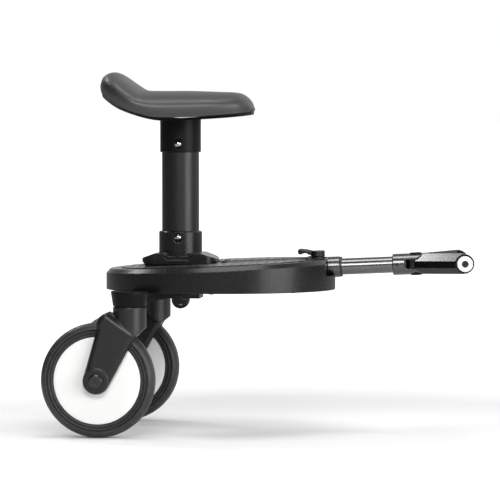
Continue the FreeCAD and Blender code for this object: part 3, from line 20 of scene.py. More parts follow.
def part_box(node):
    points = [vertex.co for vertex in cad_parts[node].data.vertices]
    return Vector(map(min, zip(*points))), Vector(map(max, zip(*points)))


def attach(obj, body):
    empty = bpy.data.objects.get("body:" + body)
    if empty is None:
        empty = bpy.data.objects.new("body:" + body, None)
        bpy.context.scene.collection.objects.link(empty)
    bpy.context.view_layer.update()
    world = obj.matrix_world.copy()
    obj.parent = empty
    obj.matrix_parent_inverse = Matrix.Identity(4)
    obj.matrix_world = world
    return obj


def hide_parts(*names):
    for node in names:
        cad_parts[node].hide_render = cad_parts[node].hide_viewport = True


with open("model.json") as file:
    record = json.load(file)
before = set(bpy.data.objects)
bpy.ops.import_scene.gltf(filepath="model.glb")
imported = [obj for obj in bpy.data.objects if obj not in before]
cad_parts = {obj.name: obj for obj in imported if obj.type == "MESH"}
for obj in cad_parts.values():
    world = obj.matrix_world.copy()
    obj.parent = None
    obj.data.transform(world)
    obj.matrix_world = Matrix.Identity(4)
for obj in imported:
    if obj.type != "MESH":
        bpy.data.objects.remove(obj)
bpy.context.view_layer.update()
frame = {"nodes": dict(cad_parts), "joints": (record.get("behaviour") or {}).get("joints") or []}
MM = 0.001
WELD = 0.001 * MM
log = logging.getLogger("buggy_board")

Colour = tuple[float, float, float]
Point = tuple[float, float, float]
Profile = Sequence[tuple[float, float]]


class Side(Enum):
    """The two sides of the board, with the sign of Y."""

    LEFT = 1
    RIGHT = -1

    @property
    def word(self) -> str:
        """Return the side's name as the nodes spell it."""
        return self.name.lower()


class Grain(Enum):
    """How a moulded surface's texture is drawn."""

    SPARK = "NOISE"
    PEBBLE = "VORONOI"


class Shader:
    """A material's node tree, with short calls for what the finishes share."""

    def __init__(self, name: str) -> None:
        """Start a material with one principled shader.

        Args:
            name: The material's name.
        """
        self.material = bpy.data.materials.new(name)
        self.material.use_nodes = True
        self.tree = self.material.node_tree
        self.principled = self.tree.nodes["Principled BSDF"]

    def node(self, kind: str, **settings: object) -> bpy.types.Node:
        """Add a node.

        Args:
            kind: The node's type name without its ShaderNode prefix.
            **settings: Properties of the node.

        Returns:
            The new node.
        """
        item = self.tree.nodes.new(f"ShaderNode{kind}")
        for key, value in settings.items():
            setattr(item, key, value)
        return item

    def feed(self, target: bpy.types.NodeSocket, source: object) -> None:
        """Link a socket to a target, or set a plain value on it.

        Args:
            target: The input socket.
            source: An output socket, or a number, vector or colour.
        """
        if isinstance(source, bpy.types.NodeSocket):
            self.tree.links.new(source, target)
        else:
            target.default_value = source

    def set(self, name: str, source: object) -> None:
        """Feed one of the principled shader's inputs.

        Args:
            name: The input's name.
            source: What it gets.
        """
        self.feed(self.principled.inputs[name], source)

    def place(self, stretch: Point = (1, 1, 1)) -> bpy.types.NodeSocket:
        """Return the piece's own coordinates, stretched along each axis.

        Args:
            stretch: Factors along X, Y and Z.

        Returns:
            A vector socket in metres times the factors.
        """
        coordinates = self.node("TexCoord").outputs["Object"]
        mapping = self.node("Mapping")
        self.feed(mapping.inputs["Vector"], coordinates)
        mapping.inputs["Scale"].default_value = stretch
        return mapping.outputs["Vector"]

    def noise(self, place: bpy.types.NodeSocket, size: float, detail: float = 3) -> bpy.types.NodeSocket:
        """Return noise with features of a given size.

        Args:
            place: Coordinates.
            size: Length of a feature in metres.
            detail: Octaves of finer noise.

        Returns:
            A factor socket.
        """
        item = self.node("TexNoise")
        self.feed(item.inputs["Vector"], place)
        item.inputs["Scale"].default_value = 1 / size
        item.inputs["Detail"].default_value = detail
        return item.outputs["Fac"]

    def cells(self, place: bpy.types.NodeSocket, size: float) -> bpy.types.NodeSocket:
        """Return rounded cells of a given size, as on a pebbled skin.

        Args:
            place: Coordinates.
            size: Width of a cell in metres.

        Returns:
            A factor socket.
        """
        item = self.node("TexVoronoi", feature="SMOOTH_F1")
        self.feed(item.inputs["Vector"], place)
        item.inputs["Scale"].default_value = 1 / size
        return item.outputs["Distance"]

    def spread(self, factor: bpy.types.NodeSocket, low: float, high: float,
               start: float = 0.3, end: float = 0.7) -> bpy.types.NodeSocket:
        """Map a factor from one span to another.

        Args:
            factor: The factor socket.
            low: Result at the span's start.
            high: Result at the span's end.
            start: Factor at the start.
            end: Factor at the end.

        Returns:
            The mapped socket.
        """
        item = self.node("MapRange")
        self.feed(item.inputs["Value"], factor)
        for name, value in (("From Min", start), ("From Max", end), ("To Min", low), ("To Max", high)):
            item.inputs[name].default_value = value
        return item.outputs["Result"]

    def blend(self, factor: object, first: object, second: object) -> bpy.types.NodeSocket:
        """Mix two colours.

        Args:
            factor: Share of the second, as a number or a socket.
            first: Colour or socket.
            second: Colour or socket.

        Returns:
            The mixed colour.
        """
        item = self.node("Mix", data_type="RGBA")
        self.feed(item.inputs[0], factor)
        for index, source in ((6, first), (7, second)):
            value = source if isinstance(source, bpy.types.NodeSocket) else (*source, 1)
            self.feed(item.inputs[index], value)
        return item.outputs[2]

    def eased(self, radius: float) -> bpy.types.NodeSocket:
        """Return the surface's normal with its edges eased to a small radius.

        Args:
            radius: Radius in metres.

        Returns:
            A normal socket.
        """
        item = self.node("Bevel", samples=6)
        item.inputs["Radius"].default_value = radius
        return item.outputs["Normal"]

    def edges(self, eased: bpy.types.NodeSocket) -> bpy.types.NodeSocket:
        """Return a mask that is 1 along the piece's edges and 0 elsewhere.

        Args:
            eased: The eased normal.

        Returns:
            A factor socket.
        """
        flat = self.node("NewGeometry").outputs["Normal"]
        likeness = self.node("VectorMath", operation="DOT_PRODUCT")
        self.feed(likeness.inputs[0], eased)
        self.feed(likeness.inputs[1], flat)
        return self.spread(likeness.outputs["Value"], 0, 1, start=0.995, end=0.9)

    def bump(self, height: bpy.types.NodeSocket, depth: float,
             normal: bpy.types.NodeSocket | None = None) -> bpy.types.NodeSocket:
        """Return a normal that is raised by a height.

        Args:
            height: Height as a factor socket.
            depth: Depth in metres at a factor of 1.
            normal: The normal that is raised, or None for the surface's own.

        Returns:
            A normal socket.
        """
        item = self.node("Bump")
        item.inputs["Strength"].default_value = 1
        item.inputs["Distance"].default_value = depth
        self.feed(item.inputs["Height"], height)
        if normal is not None:
            self.feed(item.inputs["Normal"], normal)
        return item.outputs["Normal"]


def scaled(colour: Colour, factor: float) -> Colour:
    """Return a colour made lighter or darker."""
    return tuple(min(1.0, channel * factor) for channel in colour)


@dataclass(frozen=True)
class MouldedPlastic:
    """A moulded plastic with a fine grain, faint mottling, and edges lightened partly by handling wear and
    partly as a painted highlight.
    """

    name: str
    colour: Colour
    roughness: float
    grain: Grain = Grain.SPARK
    grain_size: float = 0.7 * MM
    grain_depth: float = 0.005 * MM
    edge_radius: float = 0.7 * MM
    edge_lift: float = 1.9
    specular: float = 0.5
    cloud_size: float = 40 * MM
    speck_size: float = 2.5 * MM

    def material(self) -> bpy.types.Material:
        """Make the finish's nodes.

        Returns:
            The material.
        """
        shader = Shader(self.name)
        place = shader.place()
        eased = shader.eased(self.edge_radius)
        # Mask of the edges, where handling wear and a painted highlight lighten the colour.
        worn_and_highlit_edges = shader.edges(eased)
        cloud = shader.noise(place, self.cloud_size, 4)
        speck = shader.noise(place, self.speck_size, 6)
        body = shader.blend(shader.spread(cloud, 0, 1), scaled(self.colour, 0.86), scaled(self.colour, 1.12))
        rubbed_and_highlit = shader.blend(shader.spread(speck, 0.25, 1), self.colour, scaled(self.colour, self.edge_lift))
        shader.set("Base Color", shader.blend(worn_and_highlit_edges, body, rubbed_and_highlit))
        shader.set("Roughness", shader.spread(speck, self.roughness - 0.02, self.roughness + 0.03))
        shader.set("Specular IOR Level", self.specular)
        if self.grain is Grain.PEBBLE:
            height = shader.cells(place, self.grain_size)
        else:
            height = shader.noise(place, self.grain_size, 2)
        shader.set("Normal", shader.bump(height, self.grain_depth, eased))
        return shader.material


@dataclass(frozen=True)
class FoamSkin:
    """The smooth moulded skin of a foam pad, with a shallow pebble and a soft sheen."""

    name: str
    colour: Colour
    roughness: float = 0.4
    pebble: float = 1.1 * MM
    depth: float = 0.012 * MM
    specular: float = 0.4
    cloud_size: float = 55 * MM
    fine_size: float = 0.35 * MM

    def material(self) -> bpy.types.Material:
        """Make the finish's nodes.

        Returns:
            The material.
        """
        shader = Shader(self.name)
        place = shader.place()
        cloud = shader.noise(place, self.cloud_size, 3)
        fine = shader.noise(place, self.fine_size, 2)
        pores = shader.cells(place, self.pebble)
        shader.set("Base Color", shader.blend(shader.spread(cloud, 0, 1), scaled(self.colour, 0.9),
                                              scaled(self.colour, 1.1)))
        shader.set("Roughness", shader.spread(cloud, self.roughness - 0.04, self.roughness + 0.06))
        shader.set("Specular IOR Level", self.specular)
        skin = shader.bump(pores, self.depth)
        shader.set("Normal", shader.bump(fine, self.depth / 3, skin))
        return shader.material


@dataclass(frozen=True)
class WheelRubber:
    """Tyre or mat rubber, with a dull bloom and scuffed edges."""

    name: str
    colour: Colour
    roughness: float = 0.62
    pit_size: float = 0.8 * MM
    pit_depth: float = 0.05 * MM
    bloom: float = 1.7
    edge_radius: float = 0.5 * MM
    dust_size: float = 9 * MM

    def material(self) -> bpy.types.Material:
        """Make the finish's nodes.

        Returns:
            The material.
        """
        shader = Shader(self.name)
        place = shader.place()
        eased = shader.eased(self.edge_radius)
        dust = shader.noise(place, self.dust_size, 8)
        pits = shader.noise(place, self.pit_size, 4)
        bloomed = shader.blend(shader.spread(dust, 0, 0.7, start=0.42, end=0.7), self.colour,
                               scaled(self.colour, self.bloom))
        scuffed = scaled(self.colour, self.bloom * 1.4)
        shader.set("Base Color", shader.blend(shader.edges(eased), bloomed, scuffed))
        shader.set("Roughness", shader.spread(dust, self.roughness - 0.06, self.roughness + 0.1))
        shader.set("Specular IOR Level", 0.4)
        shader.set("Normal", shader.bump(pits, self.pit_depth, eased))
        return shader.material


@dataclass(frozen=True)
class GlossPlastic:
    """Pale polished plastic, with a faint flow pattern and fine scratches."""

    name: str
    colour: Colour
    roughness: float = 0.28
    scratch: float = 0.004 * MM
    edge_radius: float = 0.6 * MM
    flow_size: float = 30 * MM
    line_size: float = 0.4 * MM

    def material(self) -> bpy.types.Material:
        """Make the finish's nodes.

        Returns:
            The material.
        """
        shader = Shader(self.name)
        place = shader.place()
        eased = shader.eased(self.edge_radius)
        flow = shader.noise(place, self.flow_size, 2)
        lines = shader.noise(place, self.line_size, 3)
        shader.set("Base Color", shader.blend(shader.spread(flow, 0, 1), scaled(self.colour, 0.97),
                                              self.colour))
        shader.set("Roughness", shader.spread(lines, self.roughness - 0.04, self.roughness + 0.08))
        shader.set("Normal", shader.bump(lines, self.scratch, eased))
        return shader.material


@dataclass(frozen=True)
class TubeFinish:
    """Drawn tube, bare or painted, whose fine draw lines run along one axis."""

    name: str
    colour: Colour
    roughness: float
    metallic: float
    along: Point
    line_depth: float = 0.006 * MM
    specular: float = 0.5
    edge_radius: float = 0.5 * MM
    line_size: float = 0.9 * MM
    line_stretch: float = 0.97
    cloud_size: float = 25 * MM

    def material(self) -> bpy.types.Material:
        """Make the finish's nodes.

        Returns:
            The material.
        """
        shader = Shader(self.name)
        eased = shader.eased(self.edge_radius)
        stretch = tuple(1 - self.line_stretch * axis for axis in self.along)
        lines = shader.noise(shader.place(stretch), self.line_size, 4)
        cloud = shader.noise(shader.place(), self.cloud_size, 3)
        shader.set("Base Color", shader.blend(shader.spread(cloud, 0, 1), scaled(self.colour, 0.92),
                                              scaled(self.colour, 1.06)))
        shader.set("Metallic", self.metallic)
        shader.set("Specular IOR Level", self.specular)
        shader.set("Roughness", shader.spread(lines, self.roughness - 0.05, self.roughness + 0.07))
        shader.set("Normal", shader.bump(lines, self.line_depth, eased))
        return shader.material


@dataclass(frozen=True)
class PlatedSteel:
    """Plated steel of screws, pins and bearings, with turning marks and a little grime."""

    name: str
    colour: Colour
    roughness: float = 0.3
    edge_radius: float = 0.25 * MM
    grime_size: float = 3 * MM
    mark_size: float = 0.25 * MM
    mark_depth: float = 0.001 * MM

    def material(self) -> bpy.types.Material:
        """Make the finish's nodes.

        Returns:
            The material.
        """
        shader = Shader(self.name)
        place = shader.place()
        eased = shader.eased(self.edge_radius)
        grime = shader.noise(place, self.grime_size, 5)
        marks = shader.noise(place, self.mark_size, 3)
        grimy = shader.spread(grime, 0, 1, start=0.5, end=0.75)
        shader.set("Base Color", shader.blend(grimy, self.colour, scaled(self.colour, 0.6)))
        shader.set("Metallic", 1.0)
        shader.set("Roughness", shader.spread(grime, self.roughness - 0.08, self.roughness + 0.12))
        shader.set("Normal", shader.bump(marks, self.mark_depth, eased))
        return shader.material


Finish = MouldedPlastic | FoamSkin | WheelRubber | GlossPlastic | TubeFinish | PlatedSteel

# The deck, fork and socket plastics lighten their edges far beyond handling wear: a painted highlight along
# the edges.
DECK_PLASTIC = MouldedPlastic("deck_plastic", (0.0045, 0.0045, 0.0047), 0.28, grain_depth=0.0012 * MM,
                              edge_radius=1.4 * MM, edge_lift=9, specular=0.34)
FORK_PLASTIC = MouldedPlastic("fork_plastic", (0.008, 0.008, 0.0083), 0.34, grain_size=0.9 * MM,
                              edge_radius=3.6 * MM, edge_lift=3, specular=0.45)
YOKE_PLASTIC = MouldedPlastic("yoke_plastic", (0.003, 0.003, 0.0031), 0.17, grain_depth=0.001 * MM)
SOCKET_PLASTIC = MouldedPlastic("socket_plastic", (0.003, 0.003, 0.0031), 0.4, edge_lift=9, specular=0.13)
LEVER_PLASTIC = MouldedPlastic("lever_plastic", (0.006, 0.006, 0.0063), 0.34, grain=Grain.PEBBLE)
CORE_PLASTIC = MouldedPlastic("core_plastic", (0.05, 0.05, 0.052), 0.6)
BUSH_PLASTIC = MouldedPlastic("bush_plastic", (0.72, 0.71, 0.67), 0.4, edge_lift=1.1)
WHITE_PLASTIC = GlossPlastic("white_plastic", (0.82, 0.82, 0.81))
TREAD_RUBBER = WheelRubber("tread_rubber", (0.024, 0.024, 0.0246), 0.42, pit_depth=0.02 * MM)
MAT_RUBBER = WheelRubber("mat_rubber", (0.014, 0.014, 0.0145), 0.3, pit_size=1.2 * MM, pit_depth=0.012 * MM)
SADDLE_SKIN = FoamSkin("saddle_skin", (0.017, 0.017, 0.0176), 0.46, specular=0.75)
POST_PAINT = TubeFinish("post_paint", (0.003, 0.003, 0.0031), 0.36, metallic=0.0, along=(0, 0, 1),
                        line_depth=0.0006 * MM, specular=0.45)
ARM_METAL = TubeFinish("arm_metal", (0.16, 0.16, 0.164), 0.22, metallic=1.0, along=(1, 0, 0),
                       line_depth=0.0004 * MM)
COLLAR_METAL = TubeFinish("collar_metal", (0.12, 0.12, 0.123), 0.24, metallic=1.0, along=(1, 0, 0),
                          line_depth=0.0004 * MM)
STEEL = PlatedSteel("steel", (0.5, 0.5, 0.51))
BUTTON_STEEL = PlatedSteel("button_steel", (0.34, 0.34, 0.345), 0.18)
DARK_STEEL = PlatedSteel("dark_steel", (0.05, 0.05, 0.052), 0.34)
AXLE_STEEL = PlatedSteel("axle_steel", (0.07, 0.07, 0.072), 0.3)


class Finishes:
    """Makes each finish's material once and puts it on pieces."""

    def __init__(self) -> None:
        """Start with no material made."""
        self._made: dict[str, bpy.types.Material] = {}

    def material(self, finish: Finish) -> bpy.types.Material:
        """Return a finish's material, made at its first use.

        Args:
            finish: One of the finishes.

        Returns:
            The material.
        """
        if finish.name not in self._made:
            self._made[finish.name] = finish.material()
        return self._made[finish.name]

    def coat(self, piece: bpy.types.Object, finish: Finish) -> bpy.types.Object:
        """Give a piece one finish all over.

        Args:
            piece: The piece.
            finish: Its finish.

        Returns:
            The piece.
        """
        piece.data.materials.clear()
        piece.data.materials.append(self.material(finish))
        return piece

    def coat_nodes(self, finish: Finish, *names: str) -> None:
        """Give carried-over solids a finish.

        Args:
            finish: The finish.
            *names: Names of the nodes.
        """
        for name in names:
            self.coat(frame["nodes"][name], finish)
            log.info("%s keeps its solid, in %s", name, finish.name)


def joint_of(name: str) -> dict:
    """Return the frame's joint of that name."""
    return next(joint for joint in frame["joints"] if joint["name"] == name)


def middle(node: str) -> Vector:
    """Return the middle of a node's box."""
    low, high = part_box(node)
    return (low + high) / 2


def axes_at(origin: Vector, forward: Vector, up: Vector) -> Matrix:
    """Return a matrix whose X axis lies along forward and whose Z axis lies along up.

    Args:
        origin: Its place.
        forward: Direction of X.
        up: Direction of Z, square to forward.

    Returns:
        The matrix.
    """
    x, z = forward.normalized(), up.normalized()
    y = z.cross(x)
    rows = [(x[k], y[k], z[k], origin[k]) for k in range(3)]
    return Matrix((*rows, (0, 0, 0, 1)))


def mesh_piece(name: str, points: Sequence[Sequence[float]], faces: Sequence[Sequence[int]],
               place: Matrix = Matrix.Identity(4), crease: float = 35) -> bpy.types.Object:
    """Make a mesh object, shaded smooth up to a crease angle.

    Args:
        name: The piece's name.
        points: Its points.
        faces: Its faces, as indices.
        place: Where it goes; the move is put into the mesh.
        crease: Angle in degrees above which an edge stays sharp.

    Returns:
        The object.
    """
    mesh = bpy.data.meshes.new(name)
    mesh.from_pydata([tuple(point) for point in points], [], [tuple(face) for face in faces])
    mesh.transform(place)
    work = bmesh.new()
    work.from_mesh(mesh)
    bmesh.ops.remove_doubles(work, verts=work.verts, dist=WELD)
    bmesh.ops.recalc_face_normals(work, faces=work.faces)
    work.to_mesh(mesh)
    work.free()
    mesh.shade_smooth()
    mesh.set_sharp_from_angle(angle=math.radians(crease))
    piece = bpy.data.objects.new(name, mesh)
    bpy.context.scene.collection.objects.link(piece)
    return piece


def ring_faces(rings: int, count: int) -> list[tuple[int, ...]]:
    """Return the faces between rings of points, and a cap on the first ring and the last.

    Args:
        rings: How many rings there are.
        count: Points in each ring.

    Returns:
        The faces, as indices.
    """
    faces = []
    last = (rings - 1) * count
    for here in range(0, last, count):
        there = here + count
        for k in range(count):
            after = (k + 1) % count
            faces.append((here + k, here + after, there + after, there + k))
    return faces + [tuple(range(count)), tuple(range(last, last + count))]


def lathe(name: str, profile: Profile, place: Matrix, steps: int = 96, closed: bool = True,
          crease: float = 35) -> bpy.types.Object:
    """Turn a profile about the place's Z axis.

    Args:
        name: The piece's name.
        profile: (radius, height) points.
        place: Frame of the axis.
        steps: Divisions of the turn.
        closed: Whether the profile's last point joins its first, as on a ring.
        crease: Angle in degrees above which an edge stays sharp.

    Returns:
        The object.
    """
    points, faces = [], []
    count = len(profile)
    for step in range(steps):
        angle = math.tau * step / steps
        points += [(r * math.cos(angle), r * math.sin(angle), h) for r, h in profile]
    for step in range(steps):
        here, there = step * count, (step + 1) % steps * count
        for k in range(count if closed else count - 1):
            after = (k + 1) % count
            faces.append((here + k, there + k, there + after, here + after))
    return mesh_piece(name, points, faces, place, crease)


def rounded(points: Profile, radius: float, steps: int = 4) -> list[tuple[float, float]]:
    """Round the corners of a closed outline.

    Args:
        points: The outline's corners.
        radius: Distance from each corner at which its rounding starts, limited by half the shorter run.
        steps: Points in each rounding, less one.

    Returns:
        The rounded outline.
    """
    corners = [Vector(point) for point in points]
    result = []
    for k, corner in enumerate(corners):
        before, after = corners[k - 1] - corner, corners[(k + 1) % len(corners)] - corner
        reach = min(radius, before.length / 2.2, after.length / 2.2)
        start, end = corner + before.normalized() * reach, corner + after.normalized() * reach
        for step in range(steps + 1):
            t = step / steps
            result.append(tuple(start * (1 - t) ** 2 + corner * 2 * t * (1 - t) + end * t ** 2))
    return result


def slab(name: str, rim: Profile, half: float, edge: float, place: Matrix, rows: int = 4) -> bpy.types.Object:
    """Draw an outline out along Y to both sides, with its long edges rounded over.

    Args:
        name: The piece's name.
        rim: The outline in X and Z.
        half: Half its width along Y.
        edge: Radius of the rounding.
        place: Where it goes.
        rows: Steps in each rounding.

    Returns:
        The object.
    """
    centre = sum((Vector(point) for point in rim), Vector((0, 0))) / len(rim)
    levels = []
    for row in range(rows + 1):
        angle = math.pi / 2 * row / rows
        levels.append((half - edge + edge * math.cos(angle), edge * (1 - math.sin(angle))))
    levels = levels + [(-y, inset) for y, inset in reversed(levels)]
    levels.sort(key=lambda level: level[0])
    points = []
    for y, inset in levels:
        for x, z in rim:
            outward = Vector((x, z)) - centre
            moved = centre + outward * max(0.0, 1 - inset / outward.length)
            points.append((moved.x, y, moved.y))
    return mesh_piece(name, points, ring_faces(len(levels), len(rim)), place, crease=40)


def socket_head(name: str, radius: float, height: float, socket: float, place: Matrix) -> bpy.types.Object:
    """Make a round head with a six-sided socket, standing up along the place's Z axis.

    Args:
        name: The piece's name.
        radius: Radius of the head.
        height: Height of the head.
        socket: Radius of the socket's corners.
        place: Frame of the head's underside.

    Returns:
        The object.
    """
    steps, ease = 48, height * 0.2
    rings = [(radius, 0), (radius, height - ease), (radius - ease * 0.3, height - ease * 0.3),
             (radius - ease, height), (socket * 1.12, height), (socket * 1.04, height - ease * 0.2)]
    socket_levels = (height - ease * 0.4, height * 0.35)
    points = []
    for r, z in rings:
        for k in range(steps):
            angle = math.tau * k / steps
            points.append((r * math.cos(angle), r * math.sin(angle), z))
    for z in socket_levels:
        for k in range(steps):
            angle = math.tau * k / steps
            flat = socket * math.cos(math.pi / 6) / math.cos((angle % (math.pi / 3)) - math.pi / 6)
            points.append((flat * math.cos(angle), flat * math.sin(angle), z))
    faces = ring_faces(len(rings) + len(socket_levels), steps)
    return mesh_piece(name, points, faces, place, crease=30)


def joined(name: str, pieces: Sequence[bpy.types.Object]) -> bpy.types.Object:
    """Join mesh pieces into one object.

    Args:
        name: Name of the result.
        pieces: The pieces, which are used up.

    Returns:
        The joined object.
    """
    with bpy.context.temp_override(active_object=pieces[0], selected_editable_objects=list(pieces)):
        bpy.ops.object.join()
    pieces[0].name = name
    pieces[0].data.name = name
    return pieces[0]


@dataclass
class Wheels:
    """The road wheels: ribbed tyres and dished white discs.

    A wall share is a height above the rim and a half width, as shares of the tyre's depth and half width.
    """

    finishes: Finishes
    wall_shares: tuple[tuple[float, float], ...] = (
        (0.0, 0.74), (0.04, 0.85), (0.09, 0.885), (0.17, 0.88), (0.2, 0.78), (0.24, 0.78), (0.29, 0.95),
        (0.33, 0.985), (0.38, 0.975), (0.42, 0.88), (0.45, 0.83), (0.48, 0.86), (0.53, 0.96), (0.6, 0.965),
        (0.68, 0.92), (0.76, 0.85), (0.84, 0.745), (0.91, 0.61), (0.96, 0.46), (0.99, 0.3),
    )
    groove: float = 1.2 * MM
    rim_gap: float = 0.3 * MM
    disc_edge: float = 0.9 * MM
    disc_dish: float = 0.8 * MM
    disc_seat: float = 11 * MM
    disc_flat: float = 5 * MM
    dish_slope: float = 4 * MM
    bearing_gap: float = 4.4 * MM
    boss_radius: float = 20 * MM
    steps: int = 128

    def build(self) -> None:
        """Build and dress both wheels."""
        for side in Side:
            self.tyre(side)
            self.discs(side)
            self.finishes.coat_nodes(CORE_PLASTIC, f"wheel_core_{side.word}")
            self.finishes.coat_nodes(STEEL, f"wheel_bearings_{side.word}")

    def place(self, side: Side, node: str) -> Matrix:
        """Return the frame of a wheel's axle, its Z axis pointing outwards.

        Args:
            side: The side.
            node: The node whose middle is on the axle.

        Returns:
            The frame's matrix.
        """
        return axes_at(middle(f"{node}_{side.word}"), Vector((1, 0, 0)), Vector((0, side.value, 0)))

    def tyre(self, side: Side) -> None:
        """Build a tyre with a ribbed sidewall and two grooves round its tread.

        Args:
            side: The side.
        """
        low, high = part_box(f"tyre_{side.word}")
        radius, half = (high.z - low.z) / 2, (high.y - low.y) / 2
        disc_low, disc_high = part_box(f"wheel_covers_{side.word}")
        rim = (disc_high.z - disc_low.z) / 2 + self.rim_gap
        depth = radius - rim
        cut = 1 - self.groove / depth
        shares = (*self.wall_shares, (1.0, 0.2), (1.0, 0.15), (cut, 0.13), (cut, 0.09), (1.0, 0.07))
        half_profile = [(rim + depth * rise, half * wide) for rise, wide in shares]
        profile = half_profile + [(r, -h) for r, h in reversed(half_profile)]
        piece = lathe(f"ribbed_tyre_{side.word}", profile, self.place(side, "tyre"), self.steps, crease=50)
        self.finishes.coat(piece, TREAD_RUBBER)
        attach(piece, f"wheel_{side.word}")
        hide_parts(f"tyre_{side.word}")
        log.info("%s replaces the plain tyre", piece.name)

    def discs(self, side: Side) -> None:
        """Build a wheel's two discs, each with a rounded edge and a shallow dish.

        Args:
            side: The side.
        """
        low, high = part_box(f"wheel_covers_{side.word}")
        outer, face = (high.z - low.z) / 2, (high.y - low.y) / 2
        bearing_low, bearing_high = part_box(f"wheel_bearings_{side.word}")
        inner = (bearing_high.z - bearing_low.z) / 2 + self.bearing_gap
        edge, dish, slope = self.disc_edge, self.disc_dish, self.dish_slope
        outline = [
            (inner, self.disc_seat), (inner, face - dish), (self.boss_radius, face - dish),
            (self.boss_radius + slope, face - dish * 0.9),
            (outer - self.disc_flat - slope, face - dish * 0.1), (outer - self.disc_flat, face),
            (outer - edge, face), (outer - edge * 0.3, face - edge * 0.3), (outer, face - edge),
            (outer, self.disc_seat),
        ]
        name = f"wheel_discs_{side.word}"
        halves = []
        for way in (1, -1):
            profile = [(r, h * way) for r, h in outline]
            halves.append(lathe(f"{name}_{way}", profile, self.place(side, "wheel_covers"), self.steps))
        piece = joined(name, halves)
        self.finishes.coat(piece, WHITE_PLASTIC)
        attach(piece, f"wheel_{side.word}")
        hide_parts(f"wheel_covers_{side.word}")
        log.info("%s replaces the plain covers", piece.name)


@dataclass
class Casters:
    """The forks, their axles and the brackets that they swivel in."""

    finishes: Finishes

    def build(self) -> None:
        """Dress both casters."""
        for side in Side:
            word = side.word
            self.finishes.coat_nodes(FORK_PLASTIC, f"fork_{word}")
            # The bracket takes the darker socket plastic rather than the deck's: painted shade for the shadow
            # under the deck.
            self.finishes.coat_nodes(SOCKET_PLASTIC, f"caster_bracket_{word}")
            self.finishes.coat_nodes(BUSH_PLASTIC, f"swivel_bushes_{word}")
            self.finishes.coat_nodes(STEEL, f"kingpin_{word}", f"axle_nut_{word}", f"axle_spacers_{word}")
            self.finishes.coat_nodes(AXLE_STEEL, f"axle_{word}")
        self.finishes.coat_nodes(CORE_PLASTIC, "swivel_caps")
        self.finishes.coat_nodes(STEEL, "bracket_screws")


@dataclass
class Deck:
    """The deck, its mat with moulded treads, and its screws."""

    finishes: Finishes
    tread_length: float = 17 * MM
    tread_width: float = 4.2 * MM
    tread_rise: float = 0.45 * MM
    tread_steps: int = 6
    pitch_along: float = 11 * MM
    pitch_across: float = 22 * MM
    margin: float = 7 * MM
    base_gap: float = 9 * MM
    cover_gap: float = 5 * MM

    def build(self) -> None:
        """Dress the deck and build the treads."""
        self.finishes.coat_nodes(DECK_PLASTIC, "deck_shell", "deck_floor")
        self.finishes.coat_nodes(MAT_RUBBER, "deck_mat")
        self.finishes.coat_nodes(STEEL, "deck_screws")
        self.treads()

    def bare(self, x: float, y: float) -> bool:
        """Tell whether a place on the mat is too near its edge, the seat base or the arm's cover.

        Args:
            x: The place along the deck.
            y: The place across it.

        Returns:
            Whether no tread stands there.
        """
        low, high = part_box("deck_mat")
        centre = (low + high) / 2
        reach, side = (high.x - low.x) / 2 - self.margin, (high.y - low.y) / 2 - self.margin
        ends = [(x, y + sign * self.tread_length / 2) for sign in (1, -1)]
        if any(((px - centre.x) / reach) ** 2 + ((py - centre.y) / side) ** 2 > 1 for px, py in ends):
            return True
        for node, gap in (("seat_base", self.base_gap), ("arm_cover", self.cover_gap)):
            near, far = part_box(node)
            within_x = near.x - gap < x < far.x + gap
            if within_x and near.y - gap - self.tread_length / 2 < y < far.y + gap + self.tread_length / 2:
                return True
        return False

    def treads(self) -> None:
        """Build rows of rounded treads that stand on the mat."""
        low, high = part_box("deck_mat")
        slope = Vector(joint_of("arm_slide")["axis"])
        up = Vector(joint_of("clamp_lever_turn")["axis"])
        surface = self.mat_top(up)
        rows = int((high.x - low.x) / self.pitch_along)
        columns = int((high.y - low.y) / self.pitch_across / 2) + 1
        made = []
        for row in range(rows + 1):
            x = low.x + self.pitch_along * (row + 0.5)
            for column in range(-columns, columns + 1):
                y = (column + row % 2 / 2) * self.pitch_across
                if self.bare(x, y):
                    continue
                z = (surface - up.x * x) / up.z
                made.append(self.tread(len(made), axes_at(Vector((x, y, z)), slope, up)))
        piece = joined("mat_treads", made)
        self.finishes.coat(piece, MAT_RUBBER)
        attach(piece, "deck")
        log.info("%s stand on the mat, %d of them", piece.name, len(made))

    def mat_top(self, up: Vector) -> float:
        """Return the height of the mat's top along its own normal."""
        return max(up.dot(vertex.co) for vertex in frame["nodes"]["deck_mat"].data.vertices)

    def tread(self, number: int, place: Matrix) -> bpy.types.Object:
        """Build one tread, a low bar with rounded ends.

        Args:
            number: Its number.
            place: Frame of its foot, its length along Y.

        Returns:
            The tread.
        """
        half, reach = self.tread_width / 2, (self.tread_length - self.tread_width) / 2
        levels = ((1.0, 0.0), (0.94, 0.55), (0.8, 0.88), (0.6, 1.0))
        points = []
        for share, rise in levels:
            for end, along in enumerate((reach, -reach)):
                for step in range(self.tread_steps + 1):
                    angle = math.pi * (step / self.tread_steps) + math.pi * end
                    points.append((half * share * math.cos(angle), along + half * share * math.sin(angle),
                                   self.tread_rise * rise))
        faces = ring_faces(len(levels), len(points) // len(levels))
        return mesh_piece(f"tread_{number}", points, faces, place, crease=60)


@dataclass
class SeatBase:
    """The foot of the seat on the deck, and the lock under it."""

    finishes: Finishes

    def build(self) -> None:
        """Dress the seat base and its lock."""
        self.finishes.coat_nodes(DECK_PLASTIC, "seat_base", "lock_plate", "lock_tab")
        self.finishes.coat_nodes(STEEL, "lock_spindle")


@dataclass
class SeatPost:
    """The post between the base and the saddle, with its snap buttons."""

    finishes: Finishes

    def build(self) -> None:
        """Dress the post."""
        self.finishes.coat_nodes(POST_PAINT, "seat_tube")
        self.finishes.coat_nodes(BUTTON_STEEL, "lower_button", "upper_button")
        self.finishes.coat_nodes(STEEL, "lower_button_spring", "upper_button_spring")


